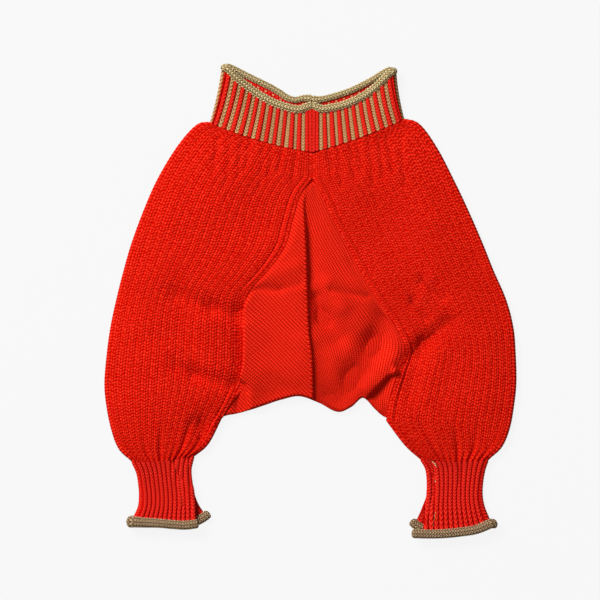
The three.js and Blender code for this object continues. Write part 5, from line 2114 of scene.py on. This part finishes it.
@dataclass
class Cuff:
    """One ribbed cuff, open at the bottom of its inseam."""

    side: Side
    rows: list[CuffRow]
    sag: float
    courses: int = 21
    points_per_wale: int = 8
    points_per_course: int = 5
    stitch_relief: float = 0.7
    flat_cut: tuple[float, float] = (0.118, 0.06)

    @property
    def name(self) -> str:
        """Name of the CAD node that this piece stands for."""
        return f"cuff_{self.side.value}"

    def plan(self, edge: str, entry: Array) -> Array:
        """Points of one edge in plan."""
        return np.stack([smooth_value(column(self.rows, f"{edge}_{axis}"), entry) for axis in "xy"], -1)

    def surface(self) -> Surface:
        """Grid of the cuff with its ribs.

        Returns:
            The surface.
        """
        across = CUFF_RIBS * self.points_per_wale
        places = np.linspace(0, CUFF_RIBS, across + 1)
        columns = Columns.spread(
            places / CUFF_RIBS,
            places,
            edge=EDGE_COLUMNS,
            fold=FOLD_COLUMNS,
            back=across,
            wales=(1, 1, CUFF_RIBS),
        )
        steps = self.courses * self.points_per_course
        last = len(self.rows) - 1
        entry = np.linspace(0, last, steps + 1)
        radius = mix(LEG_FOLD, END_FOLD, smoothstep(entry / last, 0.3, 1))

        def level(x: Array, y: Array) -> Array:
            """Height of the front's middle: flat over the fold, with the cuff's creases.

            Args:
                x: Places in plan.
                y: Places in plan.

            Returns:
                One height for each point.
            """
            base = CUFF_WALL / 2 + 2 * radius
            base = base if np.ndim(x) == 1 else base[:, None]
            return base + crease_rise(x, y, CUFF_CREASES)

        panel = FoldedPanel(
            seam=self.plan("seam", entry),
            outer=self.plan("outer", entry),
            back=self.plan("back", entry),
            sag=self.sag * (1 - smoothstep(entry, 0, 1)),
            radius=radius,
            closed=np.interp(entry, np.arange(last + 1), CUFF_CLOSING),
            wall=CUFF_WALL,
            level=level,
        )
        middle = panel.points(columns)
        final = middle[-1]
        is_front = columns.zone <= Zone.FOLD.value
        ends = [self.end(rolls, final[:, 0]) for rolls in (CUFF_ROLL_FRONT, CUFF_ROLL_BACK)]
        end = np.where(is_front, *ends)
        middle[..., 1] += (end - final[:, 1])[None] * np.clip(entry - (last - 1), 0, 1)[:, None]
        rib = cuff_rib(columns.wale) * is_front
        course = np.linspace(0, self.courses, steps + 1)[:, None]
        stitches = CUFF_STITCH.height(columns.wale[None], course)
        flare = 1 + 0.35 * smoothstep(entry, last - 1.6, last)[:, None]
        rib = np.where(columns.of(Zone.FOLD), 0.45 * rib, rib)
        relief = CUFF_RIB_HEIGHT * rib[None] * flare + self.stitch_relief * stitches * rib[None]
        wale_grid = np.tile(columns.wale, (steps + 1, 1))
        return Surface(middle, wale_grid, np.tile(course, len(columns.at)), relief, CUFF_WALL)

    def end(self, rolls: dict[Side, list[Spot]], x: Array) -> Array:
        """Plan y at which the cuff ends at its roll.

        Args:
            rolls: Middle line of the roll on each side.
            x: Places in plan.

        Returns:
            One y for each place.
        """
        line = rolls[self.side]
        slope = along(line, "x", x + 0.5, "y") - along(line, "x", x - 0.5, "y")
        return along(line, "x", x, "y") + (CUFF_ROLL[0] / 2 - ROLL_OVERLAP) * np.hypot(1, slope)

    def show_yarn(self, piece: Object, yarn: Material) -> None:
        """Gives the faces under the strands of waist yarn their own material.

        Args:
            piece: The cuff.
            yarn: Material of the strands.
        """
        data = piece.data
        data.materials.append(yarn)
        places = np.empty(2 * len(data.loops))
        data.uv_layers["Stitches"].uv.foreach_get("vector", places)
        starts = np.empty(len(data.polygons), int)
        data.polygons.foreach_get("loop_start", starts)
        normals = np.empty(3 * len(data.polygons))
        data.polygons.foreach_get("normal", normals)
        wale, course = places.reshape(-1, 2)[starts].T
        shown = np.zeros(len(starts), bool)
        for s in YARN_STRANDS:
            reached = (course - s.from_course) / (s.to_course - s.from_course)
            aside = np.abs(wale - mix(s.from_wale, s.to_wale, reached))
            shown |= (reached >= 0) & (reached <= 1) & (aside < s.width)
        shown &= normals.reshape(-1, 3)[:, 2] > 0
        slots = np.empty(len(starts), int)
        data.polygons.foreach_get("material_index", slots)
        data.polygons.foreach_set("material_index", np.where(shown, len(data.materials) - 1, slots))

    def build(
        self,
        fabricator: Fabricator,
        material: Material,
        yarn: Material,
        roll: Object,
    ) -> Object:
        """Makes the piece.

        Args:
            fabricator: What makes the mesh.
            material: Its finish.
            yarn: Finish of the strands of waist yarn.
            roll: The roll at its end; not used.

        Returns:
            The piece.
        """
        piece = fabricator.shell(f"{self.name}_cloth", self.surface(), material, material)
        if self.side == Side.RIGHT:
            self.show_yarn(piece, yarn)
        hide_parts(self.name)
        return piece


@dataclass
class Studio:
    """Pale floor, soft light and the camera straight above."""

    drafting: Drafting
    view_x: float = -9.3
    view_y: float = 0.5
    view_width: float = 558.0
    camera_height: float = 3.2
    sensor: float = 36.0
    floor_size: float = 6.0
    floor_drop: float = 0.0004
    key_energy: float = 292.0
    sky_strength: float = 0.3
    floor_shade: float = 0.79
    floor_glow: float = 0.1
    lamp_size: float = 2.0
    lamp_place: tuple[float, float, float] = (-2.4, 2.4, 3.1)

    def floor(self) -> None:
        """Adds the floor, a plain pale board."""
        half = self.floor_size / 2
        data = bpy.data.meshes.new("floor")
        corners = [(-half, -half), (half, -half), (half, half), (-half, half)]
        data.from_pydata([(x, y, -self.floor_drop) for x, y in corners], [], [(0, 1, 2, 3)])
        board = bpy.data.objects.new("floor", data)
        bpy.context.scene.collection.objects.link(board)
        made = bpy.data.materials.new("Pale board")
        made.use_nodes = True
        wires = Wiring(made.node_tree)
        shader = made.node_tree.nodes["Principled BSDF"]
        seen = wires.node("ShaderNodeLightPath").outputs["Is Camera Ray"]
        glow = wires.math("MULTIPLY", seen, self.floor_shade)
        look = {
            "Base Color": (0.04, 0.04, 0.04, 1),
            "Roughness": 1.0,
            "Specular IOR Level": 0.0,
            "Emission Color": (1, 1, 1, 1),
            "Emission Strength": wires.math("ADD", glow, self.floor_glow),
        }
        wires.fill(shader, look)
        data.materials.append(made)

    def light(self) -> None:
        """Adds an even sky and one large soft lamp from the top left."""
        world = bpy.data.worlds.new("Studio sky")
        world.use_nodes = True
        background = world.node_tree.nodes["Background"]
        background.inputs["Color"].default_value = (1, 1, 1, 1)
        background.inputs["Strength"].default_value = self.sky_strength
        bpy.context.scene.world = world
        lamp = bpy.data.lights.new("Soft lamp", "AREA")
        lamp.shape = "DISK"
        lamp.size = self.lamp_size
        lamp.energy = self.key_energy
        holder = bpy.data.objects.new("Soft lamp", lamp)
        holder.location = self.lamp_place
        holder.rotation_euler = (-holder.location).to_track_quat("-Z", "Y").to_euler()
        bpy.context.scene.collection.objects.link(holder)

    def camera(self) -> None:
        """Adds the camera, straight above, turned as in the photograph."""
        data = bpy.data.cameras.new("Camera")
        data.sensor_width = self.sensor
        data.lens = self.sensor * self.camera_height / (self.view_width * MM)
        data.clip_end = 100
        eye = bpy.data.objects.new("Camera", data)
        place = self.drafting.metres(np.array([self.view_x, self.view_y, 0]))
        eye.location = (place[0], place[1], self.camera_height)
        bpy.context.scene.collection.objects.link(eye)
        bpy.context.scene.camera = eye

    def build(self) -> None:
        """Adds the whole studio."""
        self.floor()
        self.light()
        self.camera()
        bpy.context.scene.view_settings.view_transform = "Standard"


def main() -> None:
    """Builds the garment and its studio."""
    logging.basicConfig(level=logging.INFO, format="%(name)s: %(message)s")
    legs = {Side.LEFT: Leg(Side.LEFT, LEFT_ROWS), Side.RIGHT: Leg(Side.RIGHT, RIGHT_ROWS)}
    terrain = Terrain(legs)
    drafting = Drafting(terrain)
    fabricator = Fabricator(drafting)
    Studio(drafting).build()
    groups = KnitGroups()
    looks = {
        finish.name: finish.material(groups)
        for finish in (LEG_KNIT, GUSSET_KNIT, CUFF_KNIT, WAIST_KNIT, WAIST_INSIDE, WAIST_EDGE, CUFF_EDGE)
    }
    cuff_rows = {Side.LEFT: LEFT_CUFF_ROWS, Side.RIGHT: RIGHT_CUFF_ROWS}
    pieces = [Gusset(legs, terrain).build(fabricator, looks[GUSSET_KNIT.name])]
    for side, leg in legs.items():
        pieces.append(LegPanel(leg, terrain).build(fabricator, looks[LEG_KNIT.name]))
        line = WaistLine(side)
        roll = waist_roll(line).build(fabricator, looks[WAIST_EDGE.name])
        band = WaistbandHalf(leg, line, terrain)
        pieces += [roll, band.build(fabricator, looks[WAIST_KNIT.name], looks[WAIST_INSIDE.name], roll)]
        end_roll = cuff_roll(side).build(fabricator, looks[CUFF_EDGE.name])
        cuff = Cuff(side, cuff_rows[side], float(leg.sag(np.array(LAST_ROW))))
        pieces += [end_roll, cuff.build(fabricator, looks[CUFF_KNIT.name], looks[WAIST_EDGE.name], end_roll)]
    for piece in pieces:
        log.info("%s: %d faces", piece.name, len(piece.data.polygons))


if __name__ == "__main__":
    main()
